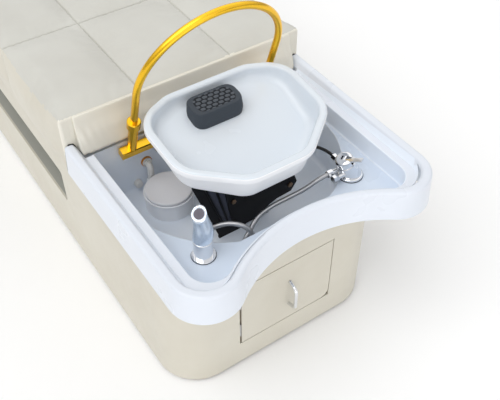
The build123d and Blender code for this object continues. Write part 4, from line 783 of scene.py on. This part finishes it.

# painted shade: a thin dark ring under the mixer's flange and under the hand shower's cup, standing in for
# the dark shadow line at their foot
shadeRings = {
    "deck": 0.4741, "width": 0.006, "overlap": 0.001, "rows": 9,
    "rings": {  # what each lies under: its name, how far it shows beyond, its thickness
        "mixer_flange": ("flangeShadeRing", 0.0009, 0.0018),
        "hand_holder": ("holderShadeRing", 0.0008, 0.0016),
    },
}
for node, (name, beyond, thick) in shadeRings["rings"].items():
    low, high = np.array(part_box(node))
    centre, radius = (low[:2] + high[:2]) / 2, min(high[:2] - low[:2]) / 2
    inside, under = radius - shadeRings["width"], radius - shadeRings["overlap"]
    foot, top = shadeRings["deck"], shadeRings["deck"] + thick
    bead = [(radius + beyond * math.cos(a), foot + thick * (0.5 + 0.5 * math.sin(a)))
            for a in np.linspace(-np.pi / 2, np.pi / 2, shadeRings["rows"])]
    profile = [(inside, foot), (under, foot), *bead, (under, top), (inside, top), (inside, foot)]
    shadeRing = turned(name, centre, profile, blackPlastic)
    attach(shadeRing, "bed")

# plate facets: painted highlight, paler strips of the black plate between its ribs where the folds catch the
# light, as thin raised strips
facets = {
    "count": 2, "ribHeight": 0.004, "height": 0.0015, "thick": 0.0008, "endFade": 0.03,
    "rows": 24, "columns": 9,
    "foot": (-0.078, 0.368), "footStep": 0.011, "footWide": 0.008,
    "head": (-0.130, 0.530), "headStep": 0.025, "headWide": 0.020,
}
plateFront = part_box("fan_plate")[0][1] + facets["ribHeight"]
t, s = np.meshgrid(np.linspace(0, 1, facets["rows"]), np.linspace(0, 1, facets["columns"]), indexing="ij")
for index in range(facets["count"]):
    footX = facets["foot"][0] + index * facets["footStep"]
    headX = facets["head"][0] + index * facets["headStep"]
    left = footX + (headX - footX) * t
    wide = facets["footWide"] + (facets["headWide"] - facets["footWide"]) * t
    z = facets["foot"][1] + (facets["head"][1] - facets["foot"][1]) * t
    # raised by the root of a sine across, level along, and down to nothing at both ends
    fromEnd = np.clip(np.minimum(t, 1 - t) / facets["endFade"], 0, 1)
    rise = facets["height"] * np.sin(np.pi * s) ** 0.5 * fromEnd
    face = np.stack([left + wide * s, plateFront - rise, z], -1)
    behind = face[:, ::-1] * (1, 0, 1) + (0, plateFront + facets["thick"], 0)
    points = np.concatenate([face, behind], 1)
    faces = ringFaces(*points.shape[:2], flip=True)
    facet = makePiece("plateFacetHighlight" + str(index + 1), points, faces, facetPaintedHighlight)
    mergePoints(facet, 1e-7)
    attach(facet, "bed")
print("filter lid, washers and plate facets laid")


def routeLine(route, count):
    # points of the route's own NURBS line, spaced evenly along it
    curve = bpy.data.curves.new("route", "CURVE")
    curve.dimensions = "3D"
    spline = curve.splines.new("NURBS")
    spline.points.add(len(route) - 1)
    for point, place in zip(spline.points, route):
        point.co = (*place, 1)
    spline.order_u = 3
    spline.use_endpoint_u = True
    spline.resolution_u = 24
    holder = bpy.data.objects.new("route", curve)
    line = readPoints(bpy.data.meshes.new_from_object(holder))
    bpy.data.objects.remove(holder)
    lineLength = lengthTo(line)[-1]
    return evenly(line, np.linspace(0, lineLength, count)), lineLength


def frameAlong(line):
    # two directions square to the line at each point, turned as little as can be from one to the next
    tangent = np.gradient(line, axis=0)
    tangent /= np.linalg.norm(tangent, axis=1)[:, None]
    side = np.cross(tangent[0], (0.3, 0.5, 0.81))
    sides = []
    for direction in tangent:
        side = side - direction * side.dot(direction)
        side = side / np.linalg.norm(side)
        sides.append(side)
    sides = np.array(sides)
    return sides, np.cross(tangent, sides)


def tubeAlong(name, line, radius, around, mat, rib=0.0, ribDepth=0.0005):
    # a round tube on the line; with a rib pitch its wall rises and falls as a spiral winding
    sideA, sideB = frameAlong(line)
    angle = np.linspace(0, 2 * np.pi, around, endpoint=False)
    s, a = np.meshgrid(lengthTo(line), angle, indexing="ij")
    r = np.full_like(s, radius)
    if rib:
        r = radius - ribDepth * (0.5 - 0.5 * np.cos(2 * np.pi * s / rib + a)) ** 2
    spokes = np.cos(a)[..., None] * sideA[:, None, :] + np.sin(a)[..., None] * sideB[:, None, :]
    points = line[:, None, :] + r[..., None] * spokes
    uv = np.stack([a / (2 * np.pi), s], -1)
    return makePiece(name, points, ringFaces(*s.shape, flip=True), mat, uv=uv)


# painted shade: a dark rubber tube round each rim end where it meets the couch, standing in for the shadow
# gap there, up the outside and down the inside
gapShade = {
    "radius": 0.0022, "around": 10, "steps": 60, "softening": 6, "back": 0.0012,
    "outer": 0.3475, "inner": 0.3165, "foot": 0.474, "crest": 0.549,
    # corners of its line, each a distance in from a side and down from the crest
    "shoulder": (0.004, 0.012), "top": (0.014, 0.0), "fall": (0.006, 0.003), "end": (0.0, 0.020),
}
outer, inner, crest = gapShade["outer"], gapShade["inner"], gapShade["crest"]
corners = np.array([
    (outer, gapShade["foot"]),
    (outer - gapShade["shoulder"][0], crest - gapShade["shoulder"][1]),
    (outer - gapShade["top"][0], crest - gapShade["top"][1]),
    (inner + gapShade["fall"][0], crest - gapShade["fall"][1]),
    (inner + gapShade["end"][0], crest - gapShade["end"][1]),
])
steps = np.linspace(0, len(corners) - 1, gapShade["steps"])
soft = np.stack([np.interp(steps, range(len(corners)), corners[:, k]) for k in (0, 1)], 1)
for _ in range(gapShade["softening"]):
    soft[1:-1] = (soft[:-2] + 2 * soft[1:-1] + soft[2:]) / 4
for sign, sideName in ((-1, "Left"), (1, "Right")):
    line = np.stack([sign * soft[:, 0], np.full(len(soft), headEdge - gapShade["back"]), soft[:, 1]], 1)
    shadeTube = tubeAlong("rimGapShade" + sideName, line, gapShade["radius"], gapShade["around"], blackRubber)
    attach(shadeTube, "bed")
print("rim gap shades laid")


def mm(points):
    # millimetres from the couch's end edge into metres in the frame
    return [(x / 1000, y / 1000 + headEdge, z / 1000) for x, y, z in points]


# hoses: NURBS through the same route points as their solids, in metres
hoseLook = {"around": 20, "ringsPerRib": 4, "plainStep": 0.003,
            "strands": (10, 900, 1), "strandHeight": 0.00025}
hoses = {
    "mixerHose": {
        "node": "mixer_hose", "radius": 0.006, "length": 0.321, "rib": 0.0026,
        "route": mm([(152, -386, 496), (128, -386, 496), (94, -378, 474), (50, -367, 459), (6, -362, 452),
                     (-36, -366, 446), (-70, -380, 424), (-93, -380, 386), (-93, -380, 349)]),
    },
    "loopHose": {
        "node": "loop_hose", "radius": 0.006, "length": 0.353, "rib": 0.0026,
        "route": mm([(-172, -322, 349), (-172, -322, 384), (-170, -334, 432), (-152, -356, 472),
                     (-122, -384, 492), (-94, -404, 480), (-78, -410, 446), (-66, -398, 406),
                     (-62, -380, 376), (-62, -380, 349)]),
    },
    "feedHose": {
        "node": "feed_hose", "radius": 0.004, "length": 0.192, "rib": 0.0,
        "route": mm([(202, -346, 500), (202, -324, 500), (186, -294, 503), (158, -272, 494), (128, -258, 470),
                     (100, -252, 446), (76, -252, 446)]),
    },
    "handHose": {
        "node": "hand_hose", "radius": 0.006, "length": 0.743, "rib": 0.0026,
        "route": mm([(-216, -418, 494), (-216, -418, 484), (-213, -409, 450), (-208, -402, 396),
                     (-196, -394, 334), (-168, -386, 278), (-116, -378, 248), (-52, -372, 236),
                     (12, -370, 232), (76, -373, 238), (138, -382, 256), (188, -393, 298),
                     (214, -399, 358), (214, -399, 428)]),
    },
}
braid = polishedMetal("hose braid", (0.50, 0.50, 0.51), 0.3)
checks = addNode(braid, "ShaderNodeTexChecker", Scale=1.0)
link(braid, coords(braid, "UV", scale=hoseLook["strands"]), checks.inputs["Vector"])
bumpFrom(braid, checks.outputs["Fac"], hoseLook["strandHeight"], 0.7)
for name, facts in hoses.items():
    # a braided hose has a rib pitch, and the plain one is of rubber
    rib, mat = facts["rib"], braid if facts["rib"] else blackRubber
    step = rib / hoseLook["ringsPerRib"] if rib else hoseLook["plainStep"]
    line, lineLength = routeLine(facts["route"], int(facts["length"] / step))
    hose = tubeAlong(name, line, facts["radius"], hoseLook["around"], mat, rib)
    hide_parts(facts["node"])
    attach(hose, "bed")
    print(name, "line", round(lineLength, 4), "stated", facts["length"])

# floor
studio = {"floorSize": 30.0, "floorColour": (0.97, 0.97, 0.97), "floorRough": 0.9}
bpy.ops.mesh.primitive_plane_add(size=studio["floorSize"])
floor = bpy.context.object
floor.name = "studioFloor"
floor.data.materials.append(newMaterial("studio floor", studio["floorColour"], studio["floorRough"]))

# world: camera rays see white; reflections see a sky that darkens towards the horizon; the rest is even
sky = {"even": 0.58, "horizon": 0.36, "clearAbove": 0.40}
world = bpy.data.worlds.new("studio")
world.use_nodes = True
bpy.context.scene.world = world
rays = addNode(world, "ShaderNodeLightPath")
direction = addNode(world, "ShaderNodeTexCoord")
parts = addNode(world, "ShaderNodeSeparateXYZ")
link(world, direction.outputs["Generated"], parts.inputs["Vector"])
mirrored = spread(world, parts.outputs["Z"], sky["horizon"], 1.0, 0.0, sky["clearAbove"])
lighting = spread(world, rays.outputs["Is Glossy Ray"], sky["even"], mirrored, 0.0, 1.0)
strength = spread(world, rays.outputs["Is Camera Ray"], lighting, 1.0, 0.0, 1.0)
background = world.node_tree.nodes["Background"]
background.inputs["Color"].default_value = (1, 1, 1, 1)
link(world, strength, background.inputs["Strength"])

# suns: a soft key from the left, a low one in front and a weak one behind
sunDistance = 3
suns = {
    "keySun": {"from": (-0.62, -0.10, 1.0), "spread": 50, "power": 1.3},
    "frontSun": {"from": (-0.15, -1.0, 0.12), "spread": 60, "power": 0.5},
    "backSun": {"from": (0.45, 0.65, 1.0), "spread": 70, "power": 0.35},
}
for name, facts in suns.items():
    lamp = bpy.data.lights.new(name, "SUN")
    lamp.energy = facts["power"]
    lamp.angle = math.radians(facts["spread"])
    aimed(name, lamp, Vector(facts["from"]) * sunDistance, -Vector(facts["from"]))
# a low wide panel in front lights the overhanging faces of the basin and the apron
lowPanel = {"at": (-0.35, -2.3, 0.22), "to": (0.0, -0.6, 0.56), "size": (1.5, 0.4), "power": 2.2}
lamp = bpy.data.lights.new("lowPanel", "AREA")
lamp.shape = "RECTANGLE"
lamp.size, lamp.size_y = lowPanel["size"]
lamp.energy = lowPanel["power"]
aimed("lowPanel", lamp, lowPanel["at"], Vector(lowPanel["to"]) - Vector(lowPanel["at"]))
bpy.context.scene.view_settings.view_transform = "Standard"
print("floor and lights set")
